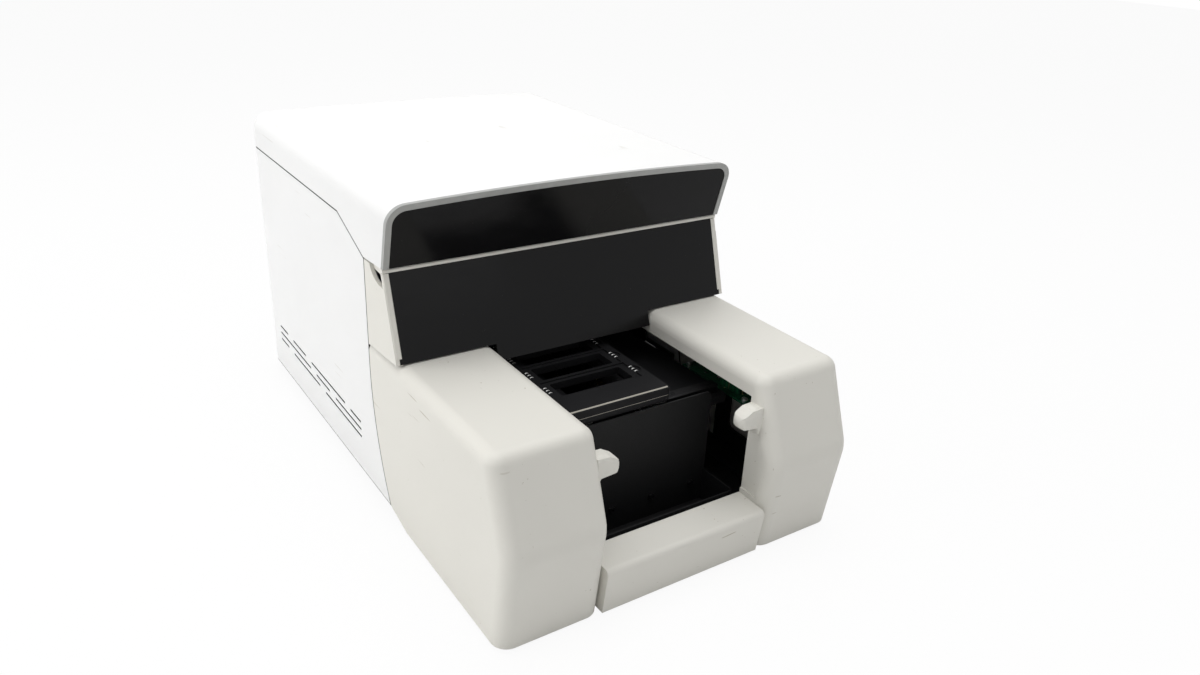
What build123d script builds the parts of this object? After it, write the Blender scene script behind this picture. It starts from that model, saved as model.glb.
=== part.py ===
from build123d import *
import os
from math import atan2, cos, degrees, hypot, pi, radians, sin

os.makedirs("parts", exist_ok=True)

# Digital slide scanner, millimetres. X is to the right, the front faces -Y, +Z is up.
# The origin is on the table, under the middle of the case.

# ---------------------------------------------------------------- driving sizes
width = 305.0             # over the side panels and the arm covers
depth = 508.0             # from the nose of the arms to the rear panel
wall = 3.0                # moulded covers
seam = 0.5                # gap between two covers
seat = 0.3                # gap of a part that sits beside its carrier
slip = 0.2                # gap between a sliding block and its rail
half = width / 2
front = -depth / 2
rear = depth / 2

# hood
roof_z = 262.5            # roof at the rear
crown_front = 4.0         # rise of the roof's middle over its edge, at the front
crown_rear = 0.7
roof_edge_radius = 15.0
rear_corner_radius = 18.0
hood_seam_z = roof_z - 31.5   # hood over side panel, from the rear to the kink
hood_low_y = front + 222.5    # where the slanted seam ends
hood_low_z = roof_z - 52.0
kink_y = hood_low_y + 51.2
brow_top = (front + 170.5, roof_z - 0.5)      # the hood's front leans back as it goes down
brow_foot = (front + 183.5, roof_z - 49.0)
trim_width = 4.5
trim_depth = 4.0
band_thickness = 3.0

# fascia and its frame
frame_rear_y = hood_low_y - 1.0       # seam to the side panels
ledge_z = roof_z - 52.6               # top of the frame, under the hood
ledge_front_y = brow_foot[0] + 2.9
fascia_foot = (ledge_front_y - 20.0, ledge_z - 64.3)
cheek_seam_rear_z = fascia_foot[1] - 5.2
fascia_thickness = 3.0
fascia_flange = 6.0
fascia_tongue_z = fascia_foot[1] - 12.6

# side panels
panel_bottom_z = 10.2
seam_bend_z = cheek_seam_rear_z - 12.4    # below this the front seam curves forward
seam_foot_y = frame_rear_y - 29.2

# arms
arm_inner_x = 72.0
arm_top_z = fascia_foot[1] - 1.1
arm_brow_y = front + 24.0
nose_z = arm_top_z - 65.5
toe_y = front + 9.0
arm_bottom_z = 3.0
arm_heel = (front + 161.0, front + 188.0, 9.0)    # bottom rises from, to, height there
arm_corner_radius = 12.0
arm_top_radius = 10.0
nose_radius = 30.0
lip_z = arm_top_z - 18.0  # inner wall hangs down to here
lip_front_y = front + 33.6
lip_corner_radius = 14.0
strip_depth = 1.2         # recessed strip on the inner face of each arm's column
strip_top = (front + 21.3, arm_top_z - 36.5)
strip_foot = (front + 16.3, 46.0)
tab_length = 17.5
tab_depth = 12.0
tab_thickness = 9.0
tab_y = front + 27.0
tab_root_z = arm_top_z - 22.5
tab_tip_z = tab_root_z - 5.5
tab_web = 9.0             # how far the tab's underside runs down the arm
tab_rounding = 3.6

# sill between the arms
sill_rear_y = front + 35.2
sill_front_y = front + 3.0
sill_top_z = 42.0
sill_toe_y = front + 8.0
sill_rounding = 2.5
sill_front_rounding = 4.0

# chassis
foot_height = 8.0
foot_radius = 9.0
foot_taper = 1.2
foot_x = half - 30.5
foot_front_y = front + 49.0
foot_rear_y = rear - 39.0
plate = 2.0
base_top = foot_height + plate
flange_height = 20.0

# slide tray and stage
slide_length = 76.0
slide_width = 26.0
slide_count = 5
slide_pitch = 28.0
slide_play = 0.4
slide_recess = 1.2
tray_top_z = arm_top_z - 20.5
tray_thickness = 7.0
tray_front_y = front + 79.5
first_slide_y = tray_front_y + 37.5
tray_width = 96.0
tray_rear_border = 8.0
tray_chamfer = 1.4
stage_left = 22.0         # travel from rest to the left
optic_y = rear - 224.0    # optical axis, in the middle of the case
x_plate = 5.0
x_rail = (10.0, 7.0)      # width, height
y_rail = (12.0, 8.0)
block_roof = 4.0
y_plate = 6.0
bed_plate = 8.0
y_rail_x = 58.0
bed_half = 72.0

# hood hinges
hinge_x = (57.5 - half, half - 57.5)
hinge_width = 44.0
hinge_y = rear - 2.6
hinge_z = hood_seam_z - 0.1
knuckle_radius = 2.4
hinge_pin_radius = 1.0
leaf_thickness = 1.6
leaf_height = 16.0
running = 0.05            # shaft in its bore, on the radius

# screws and motors
y_screw_x = 36.0
y_screw_radius = 4.0
x_screw_radius = 3.5
block_length = 26.0
y_block_width = 26.0
x_block_width = 21.0
block_skirt = 6.0         # how far a block reaches down beside its rail
motor_large = (42.0, 36.0)    # square, length
motor_small = (28.0, 30.0)
motor_plate = 4.0
motor_corner = 0.09       # shares of a motor's square and of its length
motor_cap = 0.24
motor_waist = 0.8         # how far the middle is stepped in

# optics
turret_offset = 31.0
turret_radius = 44.0
turret_thickness = 11.0
turret_boss = 16.0
turret_bevel = 4.0
objective_tip_z = tray_top_z + 3.5
objective_length = 45.0
objective_radius = 12.0
focus_down = 1.5
focus_up = 8.0
arm_thickness = 10.0
mast_y = optic_y + 108.0
mast_half = 34.0
mast_depth = 26.0
mast_top = roof_z - 15.5
mast_wall = 8.0
portal_y = (optic_y + 90.0, optic_y + 140.0)
portal_beam_z = (tray_top_z + 12.0, tray_top_z + 26.0)
portal_leg_x = (half - 25.5, half - 6.5)
focus_screw_x = 26.0
focus_screw_radius = 3.0
camera_size = (40.0, 16.0)
tube_radius = 15.0
tube_wall = 4.0

# ---------------------------------------------------------------- derived places
carriage_half = portal_leg_x[0] - 5.0 - motor_small[1]
x_travel_half = carriage_half - tray_width / 2 - 6.0
tray_x = stage_left - x_travel_half       # middle of the tray where it rests
tray_bottom_z = tray_top_z - tray_thickness
x_plate_z = tray_bottom_z - x_plate
x_rail_z = x_plate_z - block_roof - slip - x_rail[1]
y_plate_z = x_rail_z - y_plate
y_rail_z = y_plate_z - block_roof - slip - y_rail[1]
bed_z = y_rail_z - bed_plate
last_slide_y = first_slide_y + (slide_count - 1) * slide_pitch
tray_rear_y = last_slide_y + slide_pitch / 2 + tray_rear_border
x_rail_front_y = first_slide_y - slide_pitch / 2 - 10.5
x_rail_rear_y = last_slide_y + slide_pitch / 2 + 13.0
x_screw_y = x_rail_rear_y + 14.0
stage_front_y = tray_front_y + 1.0
stage_rear_y = x_screw_y + 8.0


def save(builder, name):
    """Label one finished piece and write it under its own name."""
    builder.part.label = name
    export_step(builder.part, f"parts/{name}.step")


def both_sides(name, left):
    """Write a left-hand piece, and its mirror image for the right-hand side."""
    save(left, name + "_left")
    with BuildPart() as right:
        mirror(left.part, about=Plane.YZ)
    save(right, name + "_right")


def box(x, y, z, mode=Mode.ADD):
    """A block between two limits on each axis."""
    with Locations(((x[0] + x[1]) / 2, (y[0] + y[1]) / 2, (z[0] + z[1]) / 2)):
        return Box(x[1] - x[0], y[1] - y[0], z[1] - z[0], mode=mode)


def side_profile(points, x, thickness, mode=Mode.ADD):
    """A straight-sided outline in Y and Z, made solid from x by a thickness."""
    with BuildSketch(Plane.YZ.offset(x)) as outline:
        with BuildLine():
            Polyline(*points, close=True)
        make_face()
    extrude(outline.sketch, amount=thickness, mode=mode)


# ---------------------------------------------------------------- hood
def hood_body(inset):
    """The closed form of the hood: a lofted, crowned roof with rounded edges."""
    low = hood_low_z - 12.0

    def section(y, crown):
        with BuildSketch(Plane.XZ.offset(-y)) as outline:
            with BuildLine():
                top = roof_z - inset
                reach = half - inset
                Polyline((-reach, top), (-reach, low), (reach, low), (reach, top))
                ThreePointArc((-reach, top), (0, top + crown), (reach, top))
            make_face()
        return outline.sketch.face()

    with BuildPart() as body:
        loft([section(brow_top[0] - 12.0, crown_front), section(rear - inset, crown_rear)])
        uprights = body.edges().filter_by(Axis.Z).group_by(Axis.Y)[-1]
        fillet(uprights, rear_corner_radius - inset)
        roof = body.faces().sort_by(Axis.Z)[-1]
        rim = [e for e in roof.edges() if e.center().Y > brow_top[0] - 11.0]
        fillet(rim, roof_edge_radius - inset)
    return body.part


def brow_slab(thickness, back=0.0):
    """A slab parallel to the hood's front face, whose front is set back from it."""
    run = brow_top[0] - brow_foot[0]
    rise = brow_top[1] - brow_foot[1]
    reach = hypot(run, rise)
    along = (run / reach, rise / reach)
    inward = (along[1], -along[0])
    ends = []
    for step in (back, back + thickness):
        for travel in ((-20.0, 40.0 + reach) if step == back else (40.0 + reach, -20.0)):
            ends.append((brow_foot[0] + along[0] * travel + inward[0] * step,
                         brow_foot[1] + along[1] * travel + inward[1] * step))
    with BuildPart() as slab:
        side_profile(ends, -half - 1.0, width + 2.0)
    return slab.part


hood_outline = [(brow_foot[0], brow_foot[1]),
                (hood_low_y, hood_low_z + seam / 2),
                (kink_y, hood_seam_z + seam / 2),
                (rear + 1.0, hood_seam_z + seam / 2),
                (rear + 1.0, roof_z + 15.0),
                (brow_top[0] - 4.0, roof_z + 15.0),
                (brow_top[0], brow_top[1])]

with BuildPart() as hood_shell:
    add(hood_body(0.0))
    add(hood_body(wall), mode=Mode.SUBTRACT)
    side_profile(hood_outline, -half, width, mode=Mode.INTERSECT)
    add(brow_slab(trim_depth), mode=Mode.SUBTRACT)
    for x in hinge_x:
        box((x - hinge_width / 2 - seam, x + hinge_width / 2 + seam),
            (rear - 2 * wall, rear + 1.0), (hood_seam_z, hinge_z + knuckle_radius + seam),
            mode=Mode.SUBTRACT)
save(hood_shell, "hood_shell")

with BuildPart() as hood_trim:
    add(hood_body(0.0))
    side_profile(hood_outline, -half, width, mode=Mode.INTERSECT)
    add(brow_slab(trim_depth), mode=Mode.INTERSECT)
    add(hood_body(trim_width), mode=Mode.SUBTRACT)
save(hood_trim, "hood_trim")

with BuildPart() as hood_band:
    add(hood_body(trim_width))
    side_profile(hood_outline, -half, width, mode=Mode.INTERSECT)
    add(brow_slab(band_thickness, back=0.6), mode=Mode.INTERSECT)
save(hood_band, "hood_band")


# ---------------------------------------------------------------- side and rear covers
def cover_ring(bottom, top):
    """Upright wall of the case, with rounded rear corners."""
    front_y = frame_rear_y - 60.0
    with BuildSketch(Plane.XY.offset(bottom)) as ring:
        with Locations((0, (front_y + rear) / 2)):
            Rectangle(width, rear - front_y)
        fillet(ring.vertices().group_by(Axis.Y)[-1], rear_corner_radius)
        offset(amount=-wall, mode=Mode.SUBTRACT)
    extrude(ring.sketch, amount=top - bottom)


def front_seam(top_z, back=0.0):
    """The curved seam between a side panel and the arm cover, moved back by a gap."""
    Line((frame_rear_y + back, top_z), (frame_rear_y + back, seam_bend_z))
    TangentArc((frame_rear_y + back, seam_bend_z), (seam_foot_y + back, panel_bottom_z),
               tangent=(0, -1))


wrap_x = half - 22.5      # the side panels reach this far round the rear corners
hinge_step_y = rear - 5.5
hinge_step_z = hood_seam_z - 3.4
slot_height = 2.0
vent_top_z = 57.0
vent_pitch = 7.0
vent_breaks = [[0.136, 0.220, 0.276, 0.408, 0.464, 0.769, 0.814, 0.899],
               [0.136, 0.454, 0.507, 0.632, 0.684, 0.899],
               [0.136, 0.220, 0.276, 0.538, 0.590, 0.899]]    # shares of the panel's length

with BuildPart() as side_panel:
    cover_ring(panel_bottom_z, hood_seam_z + 1.0)
    with BuildSketch(Plane.YZ.offset(-half)):
        with BuildLine():
            front_seam(hood_low_z - seam / 2)
            Polyline((seam_foot_y, panel_bottom_z), (rear, panel_bottom_z),
                     (rear, hinge_step_z), (hinge_step_y, hinge_step_z),
                     (hinge_step_y, hood_seam_z - seam / 2),
                     (kink_y, hood_seam_z - seam / 2),
                     (frame_rear_y, hood_low_z - seam / 2))
        make_face()
    extrude(amount=half - wrap_x, mode=Mode.INTERSECT)
    for row, breaks in enumerate(vent_breaks):
        for first, last in zip(breaks[::2], breaks[1::2]):
            slot_long = (last - first) * (rear - frame_rear_y)
            slot_y = rear - (last + first) / 2 * (rear - frame_rear_y)
            with BuildSketch(Plane.YZ.offset(-half - 1.0)):
                with Locations((slot_y, vent_top_z - row * vent_pitch)):
                    SlotOverall(slot_long, slot_height)
            extrude(amount=wall + 2.0, mode=Mode.SUBTRACT)
both_sides("side_panel", side_panel)

# rear panel, with the inlet, the data port and the fan behind its own holes
inlet_x, inlet_z = half - 60.5, 52.0
inlet_size = (27.0, 20.0)
rocker_x, rocker_z = inlet_x - 32.0, inlet_z
rocker_size = (13.0, 19.0)
port_x, port_z = inlet_x - 72.0, inlet_z
port_size = (12.4, 11.4)
fan_x, fan_z = 74.5 - half, hinge_step_z - 77.6
fan_size = 60.0
fan_bore = 56.0
fan_ring = 4.0            # rings and spokes of the finger guard
fan_hub = 14.0
guard_step = 7.0          # from one ring of the guard to the next
screw_radius = 1.5
screw_head = 2.8
screw_head_height = 1.9
screw_reach = 5.0
screw_socket = 1.2        # corner radius of the hexagon
screw_low_z, screw_high_z = 24.0, hinge_step_z - 27.6
rear_screws = [(side * (half - 31.5), screw_low_z + (screw_high_z - screw_low_z) * share)
               for side in (-1, 1) for share in (0.0, 0.5, 1.0)]

with BuildPart() as rear_panel:
    cover_ring(panel_bottom_z, hinge_step_z)
    box((-wrap_x + seam, wrap_x - seam), (rear - wall - 1.0, rear + 1.0),
        (panel_bottom_z, hinge_step_z), mode=Mode.INTERSECT)
    with BuildSketch(Plane.XZ.offset(-rear)) as cuts:
        with Locations((inlet_x, inlet_z)):
            Rectangle(inlet_size[0] + 2 * seat, inlet_size[1] + 2 * seat)
        with Locations((rocker_x, rocker_z)):
            Rectangle(rocker_size[0] + 2 * seat, rocker_size[1] + 2 * seat)
        with Locations((port_x, port_z)):
            Rectangle(port_size[0] + 2 * seat, port_size[1] + 2 * seat)
        with Locations((fan_x, fan_z)):
            Circle(fan_bore / 2)
            Circle(fan_bore / 2 - guard_step, mode=Mode.SUBTRACT)
            Circle(fan_bore / 2 - guard_step - fan_ring / 2)
            Circle(fan_hub / 2, mode=Mode.SUBTRACT)
            with PolarLocations(0, 4, start_angle=45):
                Rectangle(fan_bore + 2.0, fan_ring, mode=Mode.SUBTRACT)
    extrude(cuts.sketch, amount=-wall - 1.0, both=True, mode=Mode.SUBTRACT)
    with Locations(*[Location((x, rear, z), (-90, 0, 0)) for x, z in rear_screws]):
        CounterBoreHole(screw_radius + seat, screw_head + seat, screw_head_height, wall)
save(rear_panel, "rear_panel")


def cover_screw(plane):
    """A button-head screw: its head rises from the plane, its shank goes down from it."""
    with BuildSketch(plane) as head:
        Circle(screw_head)
        RegularPolygon(screw_socket, 6, mode=Mode.SUBTRACT)
    with BuildSketch(plane) as floor:
        Circle(screw_head)
    with BuildSketch(plane) as shank:
        Circle(screw_radius)
    extrude(head.sketch, amount=screw_head_height)
    extrude(floor.sketch, amount=screw_head_height / 2)
    extrude(shank.sketch, amount=-screw_reach)


# ---------------------------------------------------------------- fascia and frame
fascia_run = (fascia_foot[0] - ledge_front_y, fascia_foot[1] - ledge_z)
fascia_height = hypot(*fascia_run)
fascia_down = (fascia_run[0] / fascia_height, fascia_run[1] / fascia_height)
fascia_in = (-fascia_down[1], fascia_down[0])       # from the face into the case


def behind_fascia(travel, step):
    """A point in Y and Z, down the fascia's face and then behind it."""
    return (ledge_front_y + fascia_down[0] * travel + fascia_in[0] * step,
            ledge_z + fascia_down[1] * travel + fascia_in[1] * step)


fascia_overhang = 1.2
scallop = [(frame_rear_y - step, ledge_z - dip)
           for step, dip in ((11.3, -1.1), (15.5, 5.4), (20.8, 9.0), (28.1, 11.0), (33.5, 11.3))]

with BuildPart() as fascia_frame:
    side_profile([(frame_rear_y - seam, ledge_z), (ledge_front_y, ledge_z), fascia_foot,
                  (frame_rear_y - seam, cheek_seam_rear_z + seam)], -half, width)
    side_profile([(frame_rear_y + 1.0, ledge_z - wall),
                  behind_fascia(wall, fascia_thickness + wall),
                  behind_fascia(fascia_height + 20.0, fascia_thickness + wall),
                  (frame_rear_y + 1.0, cheek_seam_rear_z - 20.0)],
                 -half + wall, width - 2 * wall, mode=Mode.SUBTRACT)
    side_profile([behind_fascia(-1.0, -5.0), behind_fascia(-1.0, fascia_thickness),
                  behind_fascia(fascia_height + 20.0, fascia_thickness),
                  behind_fascia(fascia_height + 20.0, -5.0)],
                 -half + wall, width - 2 * wall, mode=Mode.SUBTRACT)
    side_profile([behind_fascia(wall + fascia_flange, 0.0),
                  behind_fascia(wall + fascia_flange, 2 * fascia_thickness + wall),
                  behind_fascia(fascia_height + 20.0, 2 * fascia_thickness + wall),
                  behind_fascia(fascia_height + 20.0, 0.0)],
                 -half + wall + fascia_flange, width - 2 * (wall + fascia_flange),
                 mode=Mode.SUBTRACT)
    with BuildSketch(Plane.YZ.offset(-half)) as grip:
        with BuildLine():
            Spline(*scallop)
            Polyline(scallop[-1], (ledge_front_y - 12.0, scallop[-1][1]),
                     (ledge_front_y - 12.0, ledge_z + 5.0), (scallop[0][0], ledge_z + 5.0),
                     scallop[0])
        make_face()
    extrude(grip.sketch, amount=wall, mode=Mode.SUBTRACT)
    mirror_grip = mirror(grip.sketch, about=Plane.YZ, mode=Mode.PRIVATE)
    extrude(mirror_grip, amount=wall, both=True, mode=Mode.SUBTRACT)
save(fascia_frame, "fascia_frame")

fascia_plane = Plane(origin=(0, ledge_front_y, ledge_z), x_dir=(1, 0, 0),
                     z_dir=(0, -fascia_in[0], -fascia_in[1]))
tongue_travel = (ledge_z - fascia_tongue_z) / -fascia_down[1]
with BuildPart() as fascia_panel:
    with BuildSketch(fascia_plane):
        with Locations((0, -fascia_height / 2)):
            Rectangle(width - 2 * wall - 2 * seat, fascia_height)
        with Locations((0, -(fascia_height + tongue_travel) / 2)):
            Rectangle(2 * arm_inner_x - 2 * seam, tongue_travel - fascia_height)
    extrude(amount=-fascia_thickness)
save(fascia_panel, "fascia_panel")


# ---------------------------------------------------------------- arms and sill
brow_lean = atan2(arm_brow_y - front, arm_top_z - nose_z)
toe_lean = atan2(toe_y - front, nose_z - arm_bottom_z)
nose_rounding = nose_radius * (cos((brow_lean - toe_lean) / 2)
                               / cos((brow_lean + toe_lean) / 2) - 1)


def arm_body(inset):
    """The closed form of the left arm, or of the space inside its wall."""
    open_low = open_rear = 10 * inset
    with BuildPart() as body:
        with BuildSketch(Plane.YZ.offset(-half + inset)) as outline:
            with BuildLine():
                top = arm_top_z - inset
                brow = (arm_brow_y + inset * 0.7, top)
                nose = (front - nose_rounding + inset, nose_z)
                toe = (toe_y + inset, arm_bottom_z - open_low)
                seam_rear = frame_rear_y - seam + open_rear
                Polyline((seam_rear, top), brow, nose, toe,
                         (arm_heel[0], arm_bottom_z - open_low),
                         (arm_heel[1], arm_heel[2] - open_low),
                         (seam_foot_y - seam + open_rear, panel_bottom_z - open_low))
                Line((seam_rear, top), (seam_rear, seam_bend_z))
                TangentArc((seam_rear, seam_bend_z),
                           (seam_foot_y - seam + open_rear, panel_bottom_z - open_low),
                           tangent=(0, -1))
            make_face()
        extrude(outline.sketch, amount=half - arm_inner_x - 2 * inset)
        nose_edge = body.edges().filter_by(Axis.X).sort_by(Axis.Y)[0]
        fillet(nose_edge, nose_radius)
        uprights = [e for e in body.edges()
                    if e.center().Y < arm_brow_y + 1.0 and abs(e.tangent_at(0.5).X) < 0.1]
        fillet(uprights, arm_corner_radius - inset)
        top_face = body.faces().sort_by(Axis.Z)[-1]
        rim = [e for e in top_face.edges() if e.center().Y < seam_rear - 1.0]
        fillet(rim, arm_top_radius - inset)
    return body.part


def rest_tab():
    """The rounded tab on the arm's inner face, seen from the front, above and the end."""
    root = -arm_inner_x - wall / 2
    tip = -arm_inner_x + tab_length
    under_z = tab_tip_z - tab_thickness
    with BuildPart() as tab:
        with BuildSketch(Plane.XZ.offset(-tab_y - tab_depth / 2)) as seen_front:
            with BuildLine():
                Polyline((root, tab_root_z), (-arm_inner_x + tab_length / 2, tab_root_z - 0.5),
                         (tip, tab_tip_z), (tip, under_z), (-arm_inner_x, under_z - 1.5),
                         (-arm_inner_x, under_z - tab_web), (root, under_z - tab_web), close=True)
            make_face()
            corners = seen_front.vertices()
            fillet(corners.group_by(Axis.X)[-1], tab_rounding)
            fillet(corners.group_by(Axis.X)[-2], 3 * tab_rounding)
            fillet(corners.group_by(Axis.X)[-3].sort_by(Axis.Y)[-1], 1.5 * tab_rounding)
        extrude(seen_front.sketch, amount=tab_depth)
        with BuildSketch(Plane.XY.offset(under_z - tab_web)) as seen_above:
            with Locations(((root + tip) / 2, tab_y)):
                Rectangle(tip - root, tab_depth)
            fillet(seen_above.vertices().group_by(Axis.X)[-1], tab_rounding)
        extrude(seen_above.sketch, amount=tab_root_z - under_z + tab_web, mode=Mode.INTERSECT)
    return tab.part


with BuildPart() as arm_cover:
    add(arm_body(0.0))
    add(arm_body(wall), mode=Mode.SUBTRACT)
    side_profile([(fascia_foot[0] - fascia_overhang, fascia_foot[1] + 5.0),
                  (fascia_foot[0] - fascia_overhang, fascia_foot[1] - seam),
                  (frame_rear_y, cheek_seam_rear_z), (frame_rear_y, fascia_foot[1] + 5.0)],
                 -half, half, mode=Mode.SUBTRACT)
    with BuildSketch(Plane.YZ.offset(-arm_inner_x - wall - 1.0)) as window:
        with BuildLine():
            Polyline((lip_front_y, arm_bottom_z - 1.0), (frame_rear_y + 1.0, arm_bottom_z - 1.0),
                     (frame_rear_y + 1.0, lip_z), (lip_front_y, lip_z), close=True)
        make_face()
        fillet(window.vertices().sort_by(Axis.Z)[2:].sort_by(Axis.Y)[0], lip_corner_radius)
    extrude(window.sketch, amount=wall + 2.0, mode=Mode.SUBTRACT)
    side_profile([(lip_front_y + 1.0, strip_top[1]), strip_top, strip_foot,
                  (lip_front_y + 1.0, strip_foot[1])],
                 -arm_inner_x - strip_depth, strip_depth + 1.0, mode=Mode.SUBTRACT)
    add(rest_tab())
both_sides("arm_cover", arm_cover)

with BuildPart() as front_sill:
    reach = arm_inner_x - seat
    side_profile([(sill_rear_y, sill_top_z), (sill_front_y, sill_top_z - 0.6),
                  (sill_toe_y, arm_bottom_z), (sill_rear_y, arm_bottom_z)],
                 -reach, 2 * reach)
    fillet(front_sill.edges().filter_by(Axis.X).group_by(Axis.Z)[-1], sill_rounding)
    fillet(front_sill.edges().filter_by(Axis.X).sort_by(Axis.Y)[0], sill_front_rounding)
    side_profile([(sill_rear_y - wall, sill_top_z - wall - 1.0),
                  (sill_front_y + wall + 0.5, sill_top_z - wall - 1.0),
                  (sill_toe_y + wall, arm_bottom_z - 1.0),
                  (sill_rear_y - wall, arm_bottom_z - 1.0)],
                 -reach + wall, 2 * (reach - wall), mode=Mode.SUBTRACT)
save(front_sill, "front_sill")


# ---------------------------------------------------------------- hood hinges
def hinge_leaf(x, low, high, knuckles):
    """One leaf against the cover's inner face, with its share of the knuckles."""
    box((x - hinge_width / 2, x + hinge_width / 2),
        (rear - wall - seat - leaf_thickness, rear - wall - seat), (low, high))
    for left, right in knuckles:
        with BuildSketch(Plane.YZ.offset(x + left)) as knuckle:
            with Locations((hinge_y, hinge_z)):
                Circle(knuckle_radius)
            with Locations((rear - wall - seat - leaf_thickness / 2, (low + high) / 2)):
                Rectangle(leaf_thickness, high - low)
            with Locations((rear - wall - seat - leaf_thickness / 2,
                            hinge_z + (1 if low > hinge_z else -1) * knuckle_radius / 2)):
                Rectangle(leaf_thickness, 2 * knuckle_radius)
        extrude(knuckle.sketch, amount=right - left)
    with Locations(Location((x, hinge_y, hinge_z), (0, 90, 0))):
        Cylinder(hinge_pin_radius + running, hinge_width + 2.0, mode=Mode.SUBTRACT)


knuckle_third = hinge_width / 3
with BuildPart() as fixed_leaves:
    for x in hinge_x:
        hinge_leaf(x, hinge_step_z - leaf_height, hinge_z - knuckle_radius - seam,
                   [(-hinge_width / 2, -knuckle_third / 2 - seat),
                    (knuckle_third / 2 + seat, hinge_width / 2)])
save(fixed_leaves, "hinge_leaves_fixed")

with BuildPart() as hood_leaves:
    for x in hinge_x:
        hinge_leaf(x, hinge_z + knuckle_radius + seam, hinge_z + leaf_height,
                   [(-knuckle_third / 2, knuckle_third / 2)])
save(hood_leaves, "hinge_leaves_hood")

with BuildPart() as hinge_pins:
    with Locations(*[Location((x, hinge_y, hinge_z), (0, 90, 0)) for x in hinge_x]):
        Cylinder(hinge_pin_radius, hinge_width)
save(hinge_pins, "hinge_pins")


# ---------------------------------------------------------------- chassis
plate_half = half - wall - seat
plate_rear = rear - wall - seat
plate_front = front + 16.0
plate_notch = (arm_inner_x + wall + 1.0, front + 38.0)
plate_vents = [(52.5 - half, front + 134.0), (half - 52.5, front + 134.0), (0.0, rear - 144.0)]
plate_slot = (44.0, 4.0)      # length, width
plate_slot_pitch = 10.0
plate_slot_count = 5

with BuildPart() as base_plate:
    with BuildSketch(Plane.XY.offset(foot_height)) as outline:
        with BuildLine():
            Polyline((-plate_half, plate_front), (-plate_notch[0], plate_front),
                     (-plate_notch[0], plate_notch[1]), (plate_notch[0], plate_notch[1]),
                     (plate_notch[0], plate_front), (plate_half, plate_front),
                     (plate_half, plate_rear), (-plate_half, plate_rear), close=True)
        make_face()
        fillet(outline.vertices().group_by(Axis.Y)[-1], rear_corner_radius - wall)
        fillet(outline.vertices().group_by(Axis.Y)[0].group_by(Axis.X)[0], arm_corner_radius)
        fillet(outline.vertices().group_by(Axis.Y)[0].group_by(Axis.X)[-1], arm_corner_radius)
        with Locations(*plate_vents):
            with GridLocations(1.0, plate_slot_pitch, 1, plate_slot_count):
                SlotOverall(*plate_slot, mode=Mode.SUBTRACT)
    extrude(outline.sketch, amount=plate)
    for side in (-1, 1):
        edge = sorted((side * plate_half, side * (plate_half - plate)))
        box(edge, (seam_foot_y + 40.0, rear - rear_corner_radius - 4.0),
            (foot_height, base_top + flange_height))
    box((-wrap_x + 4.0, wrap_x - 4.0), (plate_rear - plate, plate_rear),
        (foot_height, base_top + flange_height))
    with Locations(*[Location((x, rear, z), (-90, 0, 0)) for x, z in rear_screws[::3]]):
        Cylinder(screw_radius + seat, 4 * wall, mode=Mode.SUBTRACT)
save(base_plate, "base_plate")

with BuildPart() as feet:
    with Locations(*[(x, y, foot_height / 2) for x in (-foot_x, foot_x)
                     for y in (foot_front_y, foot_rear_y)]):
        Cone(foot_radius - foot_taper, foot_radius, foot_height)
save(feet, "feet")

# the black lining of the bay: a low tray behind the sill, and a tall wall in front of
# the stage, just under the slide tray
liner_wall = 1.5
liner_corner = 6.0
liner_half = arm_inner_x - seam
liner_top_z = x_plate_z - 1.0
liner_rear = stage_front_y - 2.0 - seam
liner_front = plate_notch[1] + liner_wall
liner_low_z = sill_top_z - 2.0
liner_screws = [(x, (base_top + sill_top_z) / 2 + 4.0) for x in (-58.0, -19.0, 19.0, 58.0)]
with BuildPart() as bay_liner:
    box((-liner_half, liner_half), (liner_front, liner_rear), (base_top, liner_low_z))
    fillet(bay_liner.edges().filter_by(Axis.Z).group_by(Axis.Y)[0], liner_corner)
    box((-liner_half + liner_wall, liner_half - liner_wall),
        (liner_front + liner_wall, liner_rear + 1.0), (base_top + liner_wall, sill_top_z),
        mode=Mode.SUBTRACT)
    with BuildSketch(Plane.XZ.offset(-liner_rear)) as tall_wall:
        with Locations((0, (base_top + liner_top_z) / 2)):
            Rectangle(2 * liner_half, liner_top_z - base_top)
        fillet(tall_wall.vertices().group_by(Axis.Y)[-1], liner_corner)
        with Locations(*liner_screws):
            Circle(screw_radius + seat, mode=Mode.SUBTRACT)
    extrude(tall_wall.sketch, amount=liner_wall)
save(bay_liner, "bay_liner")

with BuildPart() as case_screws:
    for x, z in rear_screws:
        cover_screw(Plane(origin=(x, rear - screw_head_height, z), z_dir=(0, 1, 0)))
    for x, z in liner_screws:
        cover_screw(Plane(origin=(x, liner_rear - liner_wall, z), z_dir=(0, -1, 0)))
save(case_screws, "case_screws")

# ---------------------------------------------------------------- stage bed
bed_front = stage_front_y - 2.0
motor_room = 5.0          # between the motor and the rear panel
bed_rear = rear - wall - motor_room - motor_large[1] - motor_plate
y_screw_z = (bed_z + bed_plate + y_plate_z) / 2
leg = 18.0
rib = (6.0, 10.0)         # thickness, depth
bed_corner = 8.0
window_back = 12.0        # the bed's windows stop this far from the screw
light_hole = 14.0
bearing_half = 9.0
bearing_long = 10.0
leg_places = [(side * y_rail_x, y) for side in (-1, 1) for y in (bed_front + leg, bed_rear - leg)]

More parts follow.
